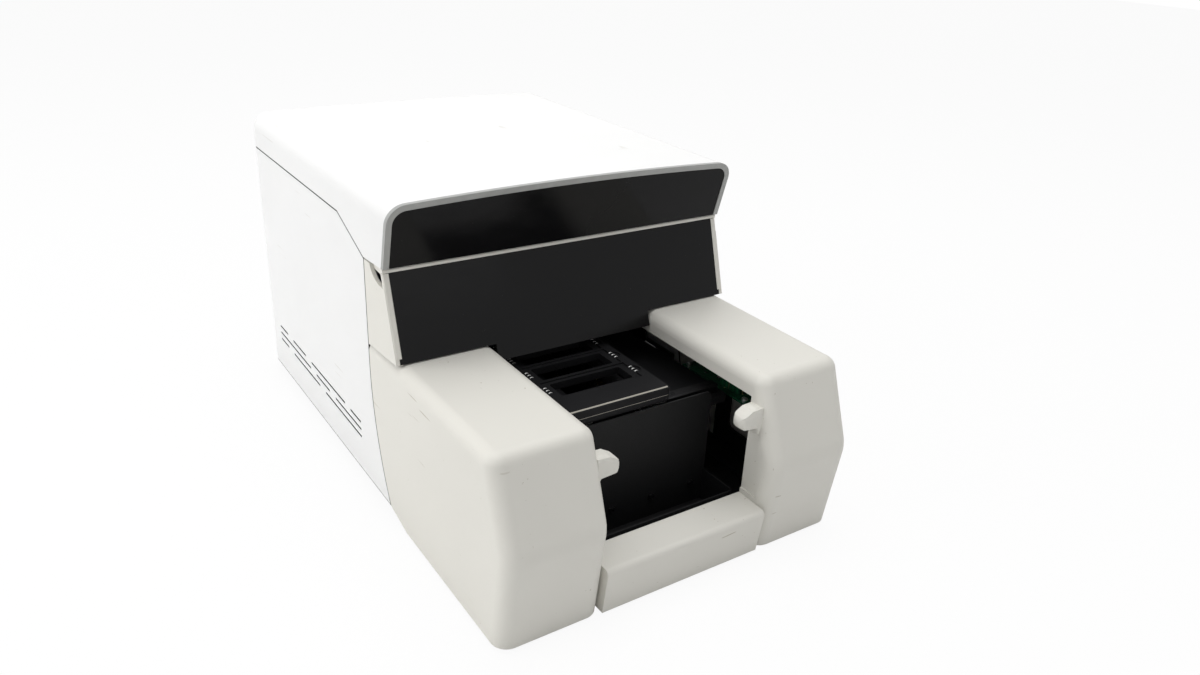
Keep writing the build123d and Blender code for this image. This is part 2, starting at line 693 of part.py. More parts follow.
with BuildPart() as stage_bed:
    box((-bed_half, bed_half), (bed_front, bed_rear + motor_plate), (bed_z, bed_z + bed_plate))
    fillet(stage_bed.edges().filter_by(Axis.Z), bed_corner)
    with BuildSketch(Plane.XY.offset(bed_z)) as windows:
        for low, high in ((bed_front + 1.7 * leg, optic_y - 1.7 * leg),
                          (optic_y + 1.7 * leg, bed_rear - 1.7 * leg)):
            with Locations((0, (low + high) / 2)):
                RectangleRounded(2 * (y_screw_x - window_back), high - low, bed_corner)
        with Locations((0, optic_y)):
            Circle(light_hole)
    extrude(windows.sketch, amount=bed_plate, mode=Mode.SUBTRACT)
    for x, y in leg_places:
        box((x - leg / 2, x + leg / 2), (y - leg / 2, y + leg / 2), (base_top, bed_z))
    for side in (-1, 1):
        box((side * y_rail_x - rib[0] / 2, side * y_rail_x + rib[0] / 2),
            (bed_front + leg, bed_rear - leg), (bed_z - rib[1], bed_z))
    box((y_screw_x - motor_large[0] / 2, y_screw_x + motor_large[0] / 2),
        (bed_rear, bed_rear + motor_plate), (bed_z, y_screw_z + motor_large[0] / 2))
    box((y_screw_x - bearing_half, y_screw_x + bearing_half),
        (bed_front + 2.0, bed_front + 2.0 + bearing_long), (bed_z, y_plate_z - seam))
    with Locations(Location((y_screw_x, (bed_front + bed_rear) / 2, y_screw_z), (90, 0, 0))):
        Cylinder(y_screw_radius + running, depth, mode=Mode.SUBTRACT)
save(stage_bed, "stage_bed")

with BuildPart() as y_rails:
    for side in (-1, 1):
        box((side * y_rail_x - y_rail[0] / 2, side * y_rail_x + y_rail[0] / 2),
            (bed_front + 3.0, bed_rear - 3.0), (y_rail_z, y_rail_z + y_rail[1]))
    chamfer(y_rails.edges().filter_by(Axis.Y).group_by(Axis.Z)[-1], 0.8)
save(y_rails, "y_rails")

with BuildPart() as y_screw:
    with Locations(Location((y_screw_x, (bed_front + 2.0 + bed_rear) / 2, y_screw_z), (90, 0, 0))):
        Cylinder(y_screw_radius, bed_rear - bed_front - 2.0)
save(y_screw, "y_screw")


def motor(centre, size, length, toward):
    """A square stepper motor with chamfered corners, its face at the centre point."""
    with BuildSketch(Plane(origin=centre, z_dir=toward)) as outline:
        RectangleRounded(size, size, size * motor_corner)
    extrude(outline.sketch, amount=-length)
    with BuildSketch(Plane(origin=centre, z_dir=toward).offset(-length * motor_cap)) as groove:
        Rectangle(size + wall, size + wall)
        Rectangle(size - 2 * motor_waist, size - 2 * motor_waist, mode=Mode.SUBTRACT)
    extrude(groove.sketch, amount=length * (2 * motor_cap - 1), mode=Mode.SUBTRACT)


with BuildPart() as y_motor:
    motor((y_screw_x, bed_rear + motor_plate, y_screw_z), motor_large[0], motor_large[1],
          (0, -1, 0))
save(y_motor, "y_motor")


# ---------------------------------------------------------------- moving stage
def rail_block(centre, length, width_over, rail_size, along_x):
    """A bearing block that straddles its rail from above; centre is on the rail's top."""
    across = (0, 1, 0) if along_x else (1, 0, 0)
    along = (1, 0, 0) if along_x else (0, -1, 0)
    with BuildSketch(Plane(origin=centre, x_dir=across, z_dir=along)) as section:
        with Locations((0, (block_roof + slip - block_skirt) / 2)):
            Rectangle(width_over, block_roof + slip + block_skirt)
        with Locations((0, (slip - block_skirt) / 2)):
            Rectangle(rail_size[0] + 2 * slip, block_skirt + slip, mode=Mode.SUBTRACT)
    extrude(section.sketch, amount=length / 2, both=True)


y_block_places = (stage_front_y + 0.58 * block_length, stage_rear_y - 0.58 * block_length)
y_nut_y = (stage_front_y + stage_rear_y) / 2 - 15.0
nut = (16.0, 20.0)            # width, length
x_screw_z = (y_plate_z + y_plate + x_plate_z) / 2
x_bearing_top = x_plate_z - seam
light_slit = 44.0
plate_corner = 3.0

with BuildPart() as y_carriage:
    box((-carriage_half, carriage_half), (stage_front_y, stage_rear_y),
        (y_plate_z, y_plate_z + y_plate))
    fillet(y_carriage.edges().filter_by(Axis.Z), plate_corner)
    with BuildSketch(Plane.XY.offset(y_plate_z)) as slit:
        with Locations((0, (first_slide_y + last_slide_y) / 2)):
            RectangleRounded(light_slit, last_slide_y - first_slide_y + slide_width, 4.0)
    extrude(slit.sketch, amount=y_plate, mode=Mode.SUBTRACT)
    box((-carriage_half, -carriage_half + motor_plate),
        (x_screw_y - motor_small[0] / 2 + 6.0, stage_rear_y),
        (y_plate_z, x_screw_z + motor_small[0] / 2 - 4.0))
    box((carriage_half - motor_plate, carriage_half), (x_screw_y - 8.0, stage_rear_y),
        (y_plate_z, x_bearing_top))
    with Locations(Location((0, x_screw_y, x_screw_z), (0, 90, 0))):
        Cylinder(x_screw_radius + running, 2 * carriage_half + 2.0, mode=Mode.SUBTRACT)
save(y_carriage, "y_carriage")

with BuildPart() as y_blocks:
    for side in (-1, 1):
        for y in y_block_places:
            rail_block((side * y_rail_x, y, y_rail_z + y_rail[1]), block_length,
                       y_block_width, y_rail, along_x=False)
save(y_blocks, "y_blocks")

with BuildPart() as y_nut:
    box((y_screw_x - nut[0] / 2, y_screw_x + nut[0] / 2),
        (y_nut_y - nut[1] / 2, y_nut_y + nut[1] / 2), (bed_z + bed_plate + seam, y_plate_z))
    with Locations(Location((y_screw_x, y_nut_y, y_screw_z), (90, 0, 0))):
        Cylinder(y_screw_radius + running, nut[1] + 2.0, mode=Mode.SUBTRACT)
save(y_nut, "y_nut")

with BuildPart() as x_rails:
    for y in (x_rail_front_y, x_rail_rear_y):
        box((-carriage_half + motor_plate + 1.0, carriage_half - motor_plate - 1.0),
            (y - x_rail[0] / 2, y + x_rail[0] / 2), (x_rail_z, x_rail_z + x_rail[1]))
    chamfer(x_rails.edges().filter_by(Axis.X).group_by(Axis.Z)[-1], 0.8)
save(x_rails, "x_rails")

with BuildPart() as x_screw:
    with Locations(Location((-motor_plate / 2, x_screw_y, x_screw_z), (0, 90, 0))):
        Cylinder(x_screw_radius, 2 * carriage_half - motor_plate)
save(x_screw, "x_screw")

with BuildPart() as x_motor:
    motor((-carriage_half, x_screw_y, x_screw_z), motor_small[0], motor_small[1], (1, 0, 0))
save(x_motor, "x_motor")

with BuildPart() as x_carriage:
    box((tray_x - tray_width / 2, tray_x + tray_width / 2),
        (tray_front_y, stage_rear_y - 1.0), (x_plate_z, tray_bottom_z))
    fillet(x_carriage.edges().filter_by(Axis.Z), plate_corner)
    with BuildSketch(Plane.XY.offset(x_plate_z)) as window:
        with Locations((tray_x, (first_slide_y + last_slide_y) / 2)):
            RectangleRounded(slide_length - 4.0, last_slide_y - first_slide_y + slide_width, 4.0)
    extrude(window.sketch, amount=x_plate, mode=Mode.SUBTRACT)
save(x_carriage, "x_carriage")

with BuildPart() as x_blocks:
    for x in (tray_x - tray_width / 2 + block_length / 2 + 1.0,
              tray_x + tray_width / 2 - block_length / 2 - 1.0):
        for y in (x_rail_front_y, x_rail_rear_y):
            rail_block((x, y, x_rail_z + x_rail[1]), block_length, x_block_width, x_rail,
                       along_x=True)
save(x_blocks, "x_blocks")

with BuildPart() as x_nut:
    box((tray_x - nut[1] / 2, tray_x + nut[1] / 2),
        (x_screw_y - x_screw_radius - wall, x_screw_y + x_screw_radius + wall),
        (y_plate_z + y_plate + seam, x_plate_z))
    with Locations(Location((tray_x, x_screw_y, x_screw_z), (0, 90, 0))):
        Cylinder(x_screw_radius + running, nut[1] + 2.0, mode=Mode.SUBTRACT)
save(x_nut, "x_nut")

# the tray that takes five slides, each over a window
slide_places = [(tray_x, first_slide_y + slide_pitch * i) for i in range(slide_count)]
window_size = (slide_length - 12.0, slide_width - 6.0)
window_corner = 1.5
thumb_notch = (14.0, 12.0)
with BuildPart() as slide_tray:
    box((tray_x - tray_width / 2, tray_x + tray_width / 2), (tray_front_y, tray_rear_y),
        (tray_bottom_z, tray_top_z))
    fillet(slide_tray.edges().filter_by(Axis.Z), plate_corner)
    front_edge = slide_tray.edges().filter_by(Axis.X).group_by(Axis.Z)[-1].sort_by(Axis.Y)[0]
    chamfer(front_edge, tray_chamfer)
    with BuildSketch(Plane.XY.offset(tray_top_z - slide_recess)) as recesses:
        with Locations(*slide_places):
            Rectangle(slide_length + slide_play, slide_width + slide_play)
            with Locations((slide_length / 2, 0)):
                SlotOverall(*thumb_notch)
    extrude(recesses.sketch, amount=slide_recess + 1.0, mode=Mode.SUBTRACT)
    with BuildSketch(Plane.XY.offset(tray_bottom_z)) as windows:
        with Locations(*slide_places):
            RectangleRounded(*window_size, window_corner)
    extrude(windows.sketch, amount=tray_thickness, mode=Mode.SUBTRACT)
save(slide_tray, "slide_tray")

# ---------------------------------------------------------------- optics
turret_y = optic_y + turret_offset
turret_z = objective_tip_z + objective_length
arm_z = turret_z + turret_thickness + seam
rail_depth = 8.0
focus_rail = (12.0, rail_depth)
focus_block_y = mast_y - rail_depth - slip - block_roof
focus_plate = 6.0
focus_half = 22.0         # half the width of the focus arm
focus_screw_y = mast_y - motor_small[0] / 2 - 1.5
focus_plate_x = (-focus_half, focus_screw_x - 8.0)
focus_motor_top = portal_beam_z[1] + motor_small[1]
bearing_z = mast_top - 21.0
bearing_thickness = 6.0
lens_bore = 12.0
pivot_radius = 6.0        # the turret's pivot
portal_fillet = 5.0

with BuildPart() as optics_portal:
    for side in (-1, 1):
        box(sorted((side * portal_leg_x[0], side * portal_leg_x[1])), portal_y,
            (base_top, portal_beam_z[1]))
    box((-portal_leg_x[1], portal_leg_x[1]), portal_y, portal_beam_z)
    box((-mast_half, mast_half), (mast_y, mast_y + mast_depth), (portal_beam_z[0], mast_top))
    box((-mast_half + mast_wall, mast_half - mast_wall),
        (mast_y + mast_wall, mast_y + mast_depth + 1.0),
        (portal_beam_z[1] + mast_wall, mast_top - mast_wall), mode=Mode.SUBTRACT)
    fillet([e for e in optics_portal.edges().filter_by(Axis.Y)
            if abs(abs(e.center().X) - portal_leg_x[0]) < 0.1
            and abs(e.center().Z - portal_beam_z[0]) < 0.1], portal_fillet)
save(optics_portal, "optics_portal")

with BuildPart() as focus_rail_piece:
    box((-focus_rail[0] / 2, focus_rail[0] / 2), (mast_y - rail_depth, mast_y),
        (portal_beam_z[1] + bearing_thickness, bearing_z + rail_depth / 2))
save(focus_rail_piece, "focus_rail")

focus_top = arm_z + 3 * arm_thickness
gusset = 6.0
with BuildPart() as focus_carriage:
    box(focus_plate_x, (focus_block_y - focus_plate, focus_block_y), (arm_z, focus_top))
    with BuildSketch(Plane.XY.offset(arm_z)) as nose:
        with BuildLine():
            Polyline((-focus_half, focus_block_y), (-focus_half, optic_y),
                     (focus_half, optic_y), (focus_half, focus_block_y), close=True)
        make_face()
        with Locations((0, optic_y)):
            Circle(focus_half)
            Circle(lens_bore, mode=Mode.SUBTRACT)
        with Locations((0, turret_y)):
            Circle(pivot_radius + running, mode=Mode.SUBTRACT)
    extrude(nose.sketch, amount=arm_thickness)
    for x in (focus_plate_x[0], focus_plate_x[1] - gusset):
        side_profile([(focus_block_y - focus_plate, focus_top),
                      (focus_block_y - focus_plate, arm_z),
                      (turret_y + turret_boss, arm_z + arm_thickness)], x, gusset)
save(focus_carriage, "focus_carriage")

with BuildPart() as focus_block:
    with BuildSketch(Plane.XY.offset(arm_z + 2.0)) as section:
        with Locations((0, (focus_block_y + mast_y - 2.0) / 2)):
            Rectangle(y_block_width, mast_y - 2.0 - focus_block_y)
        with Locations((0, mast_y - rail_depth / 2 - slip / 2)):
            Rectangle(focus_rail[0] + 2 * slip, rail_depth + slip, mode=Mode.SUBTRACT)
    extrude(section.sketch, amount=block_length)
save(focus_block, "focus_block")

nut_reach = 2 * focus_screw_radius        # round the focus screw's axis
with BuildPart() as focus_nut:
    with BuildSketch(Plane.XY.offset(arm_z + arm_thickness)) as section:
        with Locations(((focus_plate_x[1] + focus_screw_x + nut_reach) / 2, focus_screw_y)):
            Rectangle(focus_screw_x + nut_reach - focus_plate_x[1], 2 * nut_reach - 1.0)
        with Locations((focus_screw_x, focus_screw_y)):
            Circle(focus_screw_radius + running, mode=Mode.SUBTRACT)
    extrude(section.sketch, amount=nut[1] - bearing_thickness)
save(focus_nut, "focus_nut")

with BuildPart() as focus_bearing:
    with BuildSketch(Plane.XY.offset(bearing_z)) as section:
        with Locations((focus_screw_x, (focus_screw_y - nut_reach + mast_y) / 2)):
            Rectangle(2 * nut_reach, mast_y - focus_screw_y + nut_reach)
        with Locations((focus_screw_x, focus_screw_y)):
            Circle(focus_screw_radius + running, mode=Mode.SUBTRACT)
    extrude(section.sketch, amount=bearing_thickness)
save(focus_bearing, "focus_bearing")

with BuildPart() as focus_screw:
    with BuildSketch(Plane.XY.offset(focus_motor_top)) as section:
        with Locations((focus_screw_x, focus_screw_y)):
            Circle(focus_screw_radius)
    extrude(section.sketch, amount=bearing_z + bearing_thickness - focus_motor_top)
save(focus_screw, "focus_screw")

with BuildPart() as focus_motor:
    motor((focus_screw_x, focus_screw_y, focus_motor_top), motor_small[0], motor_small[1],
          (0, 0, 1))
save(focus_motor, "focus_motor")

with BuildPart() as turret:
    with BuildSketch(Plane.YZ) as section:
        with BuildLine():
            pivot_top = arm_z + arm_thickness + turret_bevel
            Polyline((turret_y, turret_z), (turret_y + turret_radius - turret_bevel, turret_z),
                     (turret_y + turret_radius, turret_z + turret_bevel),
                     (turret_y + turret_radius, turret_z + turret_thickness - turret_bevel / 2),
                     (turret_y + turret_boss, turret_z + turret_thickness),
                     (turret_y + pivot_radius, turret_z + turret_thickness),
                     (turret_y + pivot_radius, pivot_top), (turret_y, pivot_top), close=True)
        make_face()
    revolve(section.sketch, axis=Axis((0, turret_y, 0), (0, 0, 1)))
save(turret, "turret")

objective_count = 4
objective_neck = 4.0
objective_barrel = 26.0
tip_radii = (7.0, 4.0)
with BuildPart() as objectives:
    with BuildSketch(Plane.YZ) as section:
        with BuildLine():
            neck, barrel = objective_radius - 2.0, objective_radius
            collar_z, cone_z = turret_z - objective_neck, turret_z - objective_barrel
            Polyline((optic_y, turret_z), (optic_y + neck, turret_z),
                     (optic_y + neck, collar_z), (optic_y + barrel, collar_z - 1.0),
                     (optic_y + barrel, cone_z), (optic_y + tip_radii[0], objective_tip_z + 5.0),
                     (optic_y + tip_radii[1], objective_tip_z), (optic_y, objective_tip_z),
                     close=True)
        make_face()
    revolve(section.sketch, axis=Axis((0, optic_y, 0), (0, 0, 1)))
    first = objectives.part
    turns = [first.rotate(Axis((0, turret_y, 0), (0, 0, 1)), 360.0 / objective_count * i)
             for i in range(1, objective_count)]
    add(turns)
save(objectives, "objectives")

bracket_thickness = 8.0
bracket_half = 24.0
camera_corner = 3.0
bracket_z = bearing_z + bracket_thickness
with BuildPart() as camera_bracket:
    with BuildSketch(Plane.XY.offset(bracket_z)) as section:
        with Locations((0, (mast_y + optic_y) / 2)):
            Rectangle(2 * bracket_half, mast_y - optic_y)
        with Locations((0, optic_y)):
            Circle(bracket_half)
            Circle(tube_radius - tube_wall, mode=Mode.SUBTRACT)
    extrude(section.sketch, amount=bracket_thickness)
save(camera_bracket, "camera_bracket")

tube_low = arm_z + arm_thickness + focus_up + 3.0
with BuildPart() as tube_lens:
    with BuildSketch(Plane.XY.offset(tube_low)) as section:
        with Locations((0, optic_y)):
            Circle(tube_radius)
            Circle(tube_radius - tube_wall, mode=Mode.SUBTRACT)
    extrude(section.sketch, amount=bracket_z - tube_low)
save(tube_lens, "tube_lens")

with BuildPart() as camera:
    with BuildSketch(Plane.XY.offset(bracket_z + bracket_thickness)) as section:
        with Locations((0, optic_y)):
            RectangleRounded(camera_size[0], camera_size[0], camera_corner)
    extrude(section.sketch, amount=camera_size[1])
save(camera, "camera")

lamp_top = bed_z + 4.0
lamp_half = 22.0
lamp_base = 6.0
fin_count = 5
fin_thickness = 1.5
fin_height = 18.0
lens_seat_radius = 10.0
lens_seat_depth = 6.0
lens_thickness = 7.0
lens_curve = 14.0
with BuildPart() as lamp:
    box((-lamp_half, lamp_half), (optic_y - lamp_half, optic_y + lamp_half),
        (base_top, base_top + lamp_base))
    for i in range(fin_count):
        fin_x = -lamp_half + i * (2 * lamp_half - fin_thickness) / (fin_count - 1)
        box((fin_x, fin_x + fin_thickness), (optic_y - lamp_half, optic_y + lamp_half),
            (base_top, base_top + fin_height))
    with BuildSketch(Plane.XY.offset(base_top)) as section:
        with Locations((0, optic_y)):
            Circle(lens_seat_radius + 2.0)
    extrude(section.sketch, amount=lamp_top - base_top)
    with BuildSketch(Plane.XY.offset(lamp_top)) as section:
        with Locations((0, optic_y)):
            Circle(lens_seat_radius)
    extrude(section.sketch, amount=-lens_seat_depth, mode=Mode.SUBTRACT)
save(lamp, "lamp")

with BuildPart() as condenser_lens:
    with Locations((0, optic_y, lamp_top - lens_seat_depth + lens_thickness / 2)):
        Cylinder(lens_seat_radius - slip, lens_thickness)
    with Locations((0, optic_y, lamp_top - lens_seat_depth + lens_thickness - lens_curve)):
        Sphere(lens_curve, mode=Mode.INTERSECT)
save(condenser_lens, "condenser_lens")


# ---------------------------------------------------------------- power and electronics
board_thickness = 1.6
standoff = (3.0, 8.0)         # radius, height
board_edge = 4.0              # from a standoff's axis to the board's edges
chip = (22.0, 3.0)            # square, height
relay = (10.0, 30.0, 12.0)    # width, length, height
board_z = base_top + standoff[1]
main_board_x = (half - 78.5, half - 30.5)
main_board_y = (rear - 194.0, rear - 39.0)


def on_board(x, y, wide, deep, high, z):
    """A chip or a connector on a board, from its middle."""
    box((x - wide / 2, x + wide / 2), (y - deep / 2, y + deep / 2), (z, z + high))


with BuildPart() as standoffs:
    with Locations(*[(x, y, base_top + standoff[1] / 2)
                     for x in (main_board_x[0] + board_edge, main_board_x[1] - board_edge)
                     for y in (main_board_y[0] + board_edge, main_board_y[1] - board_edge)]):
        Cylinder(*standoff)
save(standoffs, "board_standoffs")

board_middle = (main_board_x[0] + main_board_x[1]) / 2
with BuildPart() as main_board:
    box(main_board_x, main_board_y, (board_z, board_z + board_thickness))
    top = board_z + board_thickness
    on_board(board_middle, main_board_y[0] + 1.4 * chip[0], chip[0], chip[0], chip[1], top)
    on_board(board_middle, main_board_y[0] + 3.2 * chip[0], chip[0] / 1.5, chip[0] / 1.5,
             chip[1], top)
    for side in (-1, 1):
        on_board(board_middle + side * 1.2 * relay[0], main_board_y[1] - 1.7 * relay[1], *relay, top)
    on_board(board_middle, main_board_y[1] - 1.7 * relay[0], relay[1], relay[0], relay[2], top)
save(main_board, "main_board")

arm_board_x = (half - 52.5, half - 6.5)
arm_board_y = (front + 69.0, front + 149.0)
arm_board_z = tray_top_z - 30.0
bracket_sheet = 1.6
bracket_flange = 24.0
bracket_hole = (44.0, 6.0)    # square, corner
with BuildPart() as arm_bracket:
    box((arm_board_x[1] - bracket_sheet, arm_board_x[1]), arm_board_y, (base_top, arm_board_z))
    for low in (arm_board_z - bracket_sheet, base_top):
        box((arm_board_x[1] - bracket_flange, arm_board_x[1]), arm_board_y,
            (low, low + bracket_sheet))
    with BuildSketch(Plane.YZ.offset(arm_board_x[1] - 2 * bracket_sheet)) as hole:
        with Locations(((arm_board_y[0] + arm_board_y[1]) / 2, (base_top + arm_board_z) / 2)):
            RectangleRounded(bracket_hole[0], bracket_hole[0], bracket_hole[1])
    extrude(hole.sketch, amount=3 * bracket_sheet, mode=Mode.SUBTRACT)
save(arm_bracket, "arm_bracket")

with BuildPart() as arm_board:
    box(arm_board_x, arm_board_y, (arm_board_z, arm_board_z + board_thickness))
    top = arm_board_z + board_thickness
    on_board(arm_board_x[0] + relay[0], arm_board_y[0] + relay[1] - 5.0, relay[0] - 2.0,
             relay[1] - 6.0, relay[2] / 2, top)
    on_board(arm_board_x[0] + chip[0] - 2.0, arm_board_y[1] - 1.2 * chip[0], chip[0] / 2,
             chip[0] / 2, chip[1], top)
    on_board(arm_board_x[1] - relay[2], arm_board_y[0] + 2 * relay[0], relay[0], relay[1] / 2,
             relay[2] / 1.5, top)
save(arm_board, "arm_board")

supply_x = (28.5 - half, 80.5 - half)
supply_y = (rear - 179.0, rear - 39.0)
supply_height = 38.0
supply_rounding = 1.5
grille_slot = (36.0, 4.0)
grille_pitch = 12.0
grille_count = 9
with BuildPart() as power_supply:
    box(supply_x, supply_y, (base_top, base_top + supply_height))
    fillet(power_supply.edges().filter_by(Axis.Y).group_by(Axis.Z)[-1], supply_rounding)
    with BuildSketch(Plane.XY.offset(base_top + supply_height)) as grille:
        with Locations(((supply_x[0] + supply_x[1]) / 2, (supply_y[0] + supply_y[1]) / 2)):
            with GridLocations(1.0, grille_pitch, 1, grille_count):
                SlotOverall(*grille_slot)
    extrude(grille.sketch, amount=-supply_rounding, mode=Mode.SUBTRACT)
save(power_supply, "power_supply")

# fan behind its finger guard
fan_depth = 20.0
fan_face_y = rear - wall
fan_corner = 4.0
spider_thickness = 3.0
axle_radius = 2.0
axle_length = 12.0
hub_length = 13.0
blade_count = 7
blade_root = 12.0
blade_tip = fan_bore / 2 - 1.2
blade_size = (14.0, 1.4)      # chord, thickness
blade_pitch = radians(38.0)
with BuildPart() as fan_frame:
    with BuildSketch(Plane.XZ.offset(-fan_face_y)) as section:
        with Locations((fan_x, fan_z)):
            RectangleRounded(fan_size, fan_size, fan_corner)
            Circle(fan_bore / 2, mode=Mode.SUBTRACT)
    extrude(section.sketch, amount=fan_depth)
    with BuildSketch(Plane.XZ.offset(-fan_face_y + fan_depth)) as spider:
        with Locations((fan_x, fan_z)):
            Circle(blade_root)
            with PolarLocations(0, 3):
                with Locations((fan_bore / 4, 0)):
                    Rectangle(fan_bore / 2 + axle_radius, fan_corner)
    extrude(spider.sketch, amount=-spider_thickness)
    with BuildSketch(Plane.XZ.offset(-fan_face_y + fan_depth - spider_thickness)) as axle:
        with Locations((fan_x, fan_z)):
            Circle(axle_radius)
    extrude(axle.sketch, amount=-axle_length)
save(fan_frame, "fan_frame")

rotor_y = fan_face_y - fan_depth + spider_thickness + 1.0
with BuildPart() as fan_rotor:
    with BuildSketch(Plane.XZ.offset(-rotor_y)) as hub:
        with Locations((fan_x, fan_z)):
            Circle(blade_root + 1.0)
    extrude(hub.sketch, amount=-hub_length)
    for i in range(blade_count):
        turn = 2 * pi * i / blade_count
        out = (cos(turn), 0, sin(turn))
        start = (fan_x + blade_root * out[0], rotor_y + hub_length / 2,
                 fan_z + blade_root * out[2])
        across = (-sin(turn) * cos(blade_pitch), sin(blade_pitch), cos(turn) * cos(blade_pitch))
        with BuildSketch(Plane(origin=start, x_dir=across, z_dir=out)) as blade:
            Rectangle(*blade_size)
        extrude(blade.sketch, amount=blade_tip - blade_root)
    with BuildSketch(Plane.XZ.offset(-rotor_y + seam)) as bore:
        with Locations((fan_x, fan_z)):
            Circle(axle_radius + running)
    extrude(bore.sketch, amount=-axle_length - seam, mode=Mode.SUBTRACT)
save(fan_rotor, "fan_rotor")

# inlet, switch and data port in the rear panel
inlet_depth = 22.0
cavity_half = (12.0, 8.2)
cavity_cut = 4.5
cavity_depth = 15.0
blade_half = (1.0, 2.0)       # contact blades of the inlet
blade_places = [(-7.0, -2.0), (7.0, -2.0), (0.0, 2.0)]
blade_setback = 6.0
with BuildPart() as power_inlet:
    with BuildSketch(Plane.XZ.offset(-rear)) as section:
        with Locations((inlet_x, inlet_z)):
            Rectangle(*inlet_size)
    extrude(section.sketch, amount=inlet_depth)
    with BuildSketch(Plane.XZ.offset(-rear)) as cavity:
        with BuildLine():
            w, h = cavity_half
            Polyline((inlet_x - w, inlet_z - h), (inlet_x + w, inlet_z - h),
                     (inlet_x + w, inlet_z + h - cavity_cut),
                     (inlet_x + w - cavity_cut, inlet_z + h),
                     (inlet_x - w + cavity_cut, inlet_z + h),
                     (inlet_x - w, inlet_z + h - cavity_cut), close=True)
        make_face()
    extrude(cavity.sketch, amount=cavity_depth, mode=Mode.SUBTRACT)
    for dx, dz in blade_places:
        box((inlet_x + dx - blade_half[0], inlet_x + dx + blade_half[0]),
            (rear - cavity_depth, rear - blade_setback),
            (inlet_z + dz - blade_half[1], inlet_z + dz + blade_half[1]))
save(power_inlet, "power_inlet")

rocker_wall = 1.4
rocker_tilt = 6.0
rocker_pin = 1.5
rocker_pivot_y = rear - 7.0
rocker_reach, rocker_face, rocker_dip = 7.2, 5.8, 4.9
rocker_back, rocker_back_half, rocker_rim = 1.0, 3.4, 2.4
housing_depth = 18.0
housing_cavity = 13.5
port_depth = 16.0
port_cavity = (8.6, 7.8, 9.0)
port_tongue = (5.6, 3.2)
with BuildPart() as switch_housing:
    with BuildSketch(Plane.XZ.offset(-rear)) as section:
        with Locations((rocker_x, rocker_z)):
            Rectangle(*rocker_size)
    extrude(section.sketch, amount=housing_depth)
    with BuildSketch(Plane.XZ.offset(-rear)) as cavity:
        with Locations((rocker_x, rocker_z)):
            Rectangle(rocker_size[0] - 2 * rocker_wall, rocker_size[1] - 2 * rocker_wall)
    extrude(cavity.sketch, amount=housing_cavity, mode=Mode.SUBTRACT)
    with Locations(Location((rocker_x, rocker_pivot_y, rocker_z), (0, 90, 0))):
        Cylinder(rocker_pin, rocker_size[0] - rocker_wall)
save(switch_housing, "switch_housing")

with BuildPart() as power_rocker:
    rocker_half = rocker_size[0] / 2 - rocker_wall - seat
    with BuildSketch(Plane.YZ.offset(rocker_x - rocker_half)) as section:
        with BuildLine():
            Polyline((-rocker_back, -rocker_back_half), (rocker_rim, -rocker_reach),
                     (rocker_face, -rocker_reach), (rocker_dip, 0.0),
                     (rocker_face, rocker_reach), (rocker_rim, rocker_reach),
                     (-rocker_back, rocker_back_half), close=True)
        make_face()
        Circle(rocker_pin + running, mode=Mode.SUBTRACT)
    tilted = section.sketch.rotate(Axis.X, -rocker_tilt)
    extrude(tilted.moved(Location((0, rocker_pivot_y, rocker_z))), amount=2 * rocker_half)
save(power_rocker, "power_rocker")

with BuildPart() as data_port:
    with BuildSketch(Plane.XZ.offset(-rear)) as section:
        with Locations((port_x, port_z)):
            Rectangle(*port_size)
    extrude(section.sketch, amount=port_depth)
    with BuildSketch(Plane.XZ.offset(-rear)) as cavity:
        with Locations((port_x, port_z)):
            Rectangle(port_cavity[0], port_cavity[1])
            Rectangle(*port_tongue, mode=Mode.SUBTRACT)
    extrude(cavity.sketch, amount=port_cavity[2], mode=Mode.SUBTRACT)
save(data_port, "data_port")
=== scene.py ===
# %% [markdown]
# # A digital slide scanner, dressed in Blender
# The solids come from the CAD pack and are never changed here. This lesson gives
# them their finishes, adds the small pieces that a solid model leaves out, and sets
# the studio in which they are looked at. All lengths are in metres.

# %% The frame
from math import asin, copysign, cos, pi, radians, sin

import bmesh
import bpy
from mathutils import Matrix, Vector
from mathutils.bvhtree import BVHTree


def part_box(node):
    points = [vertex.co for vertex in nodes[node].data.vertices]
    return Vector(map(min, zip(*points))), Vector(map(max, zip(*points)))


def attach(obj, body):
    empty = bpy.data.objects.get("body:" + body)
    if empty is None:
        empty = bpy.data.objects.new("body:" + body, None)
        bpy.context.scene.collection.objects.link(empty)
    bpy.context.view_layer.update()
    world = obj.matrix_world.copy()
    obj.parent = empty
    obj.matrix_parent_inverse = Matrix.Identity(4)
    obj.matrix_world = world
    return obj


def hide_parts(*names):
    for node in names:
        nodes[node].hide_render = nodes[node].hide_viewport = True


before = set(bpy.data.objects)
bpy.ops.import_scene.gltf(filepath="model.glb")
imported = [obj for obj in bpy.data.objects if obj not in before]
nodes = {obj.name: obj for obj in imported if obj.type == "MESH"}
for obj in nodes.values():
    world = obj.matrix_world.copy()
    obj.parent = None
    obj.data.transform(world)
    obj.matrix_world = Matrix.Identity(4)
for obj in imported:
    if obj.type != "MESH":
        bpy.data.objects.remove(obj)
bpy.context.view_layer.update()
mm = 0.001
for imported in list(bpy.data.materials):
    imported.name = "plain_" + imported.name


def box_of(node):
    """The low and the high corner of a node's box."""
    low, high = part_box(node)
    return Vector(low), Vector(high)


def link_object(name, data):
    """A new object in the scene, at the origin."""
    made = bpy.data.objects.new(name, data)
    bpy.context.scene.collection.objects.link(made)
    return made


# %% [markdown]
# ## The camera
# The picture was taken from the front left corner, above the machine, with the
# camera held a little askew. Its place, its turn and its lens were worked out from
# the case's straight edges, so the render can be laid over the picture.

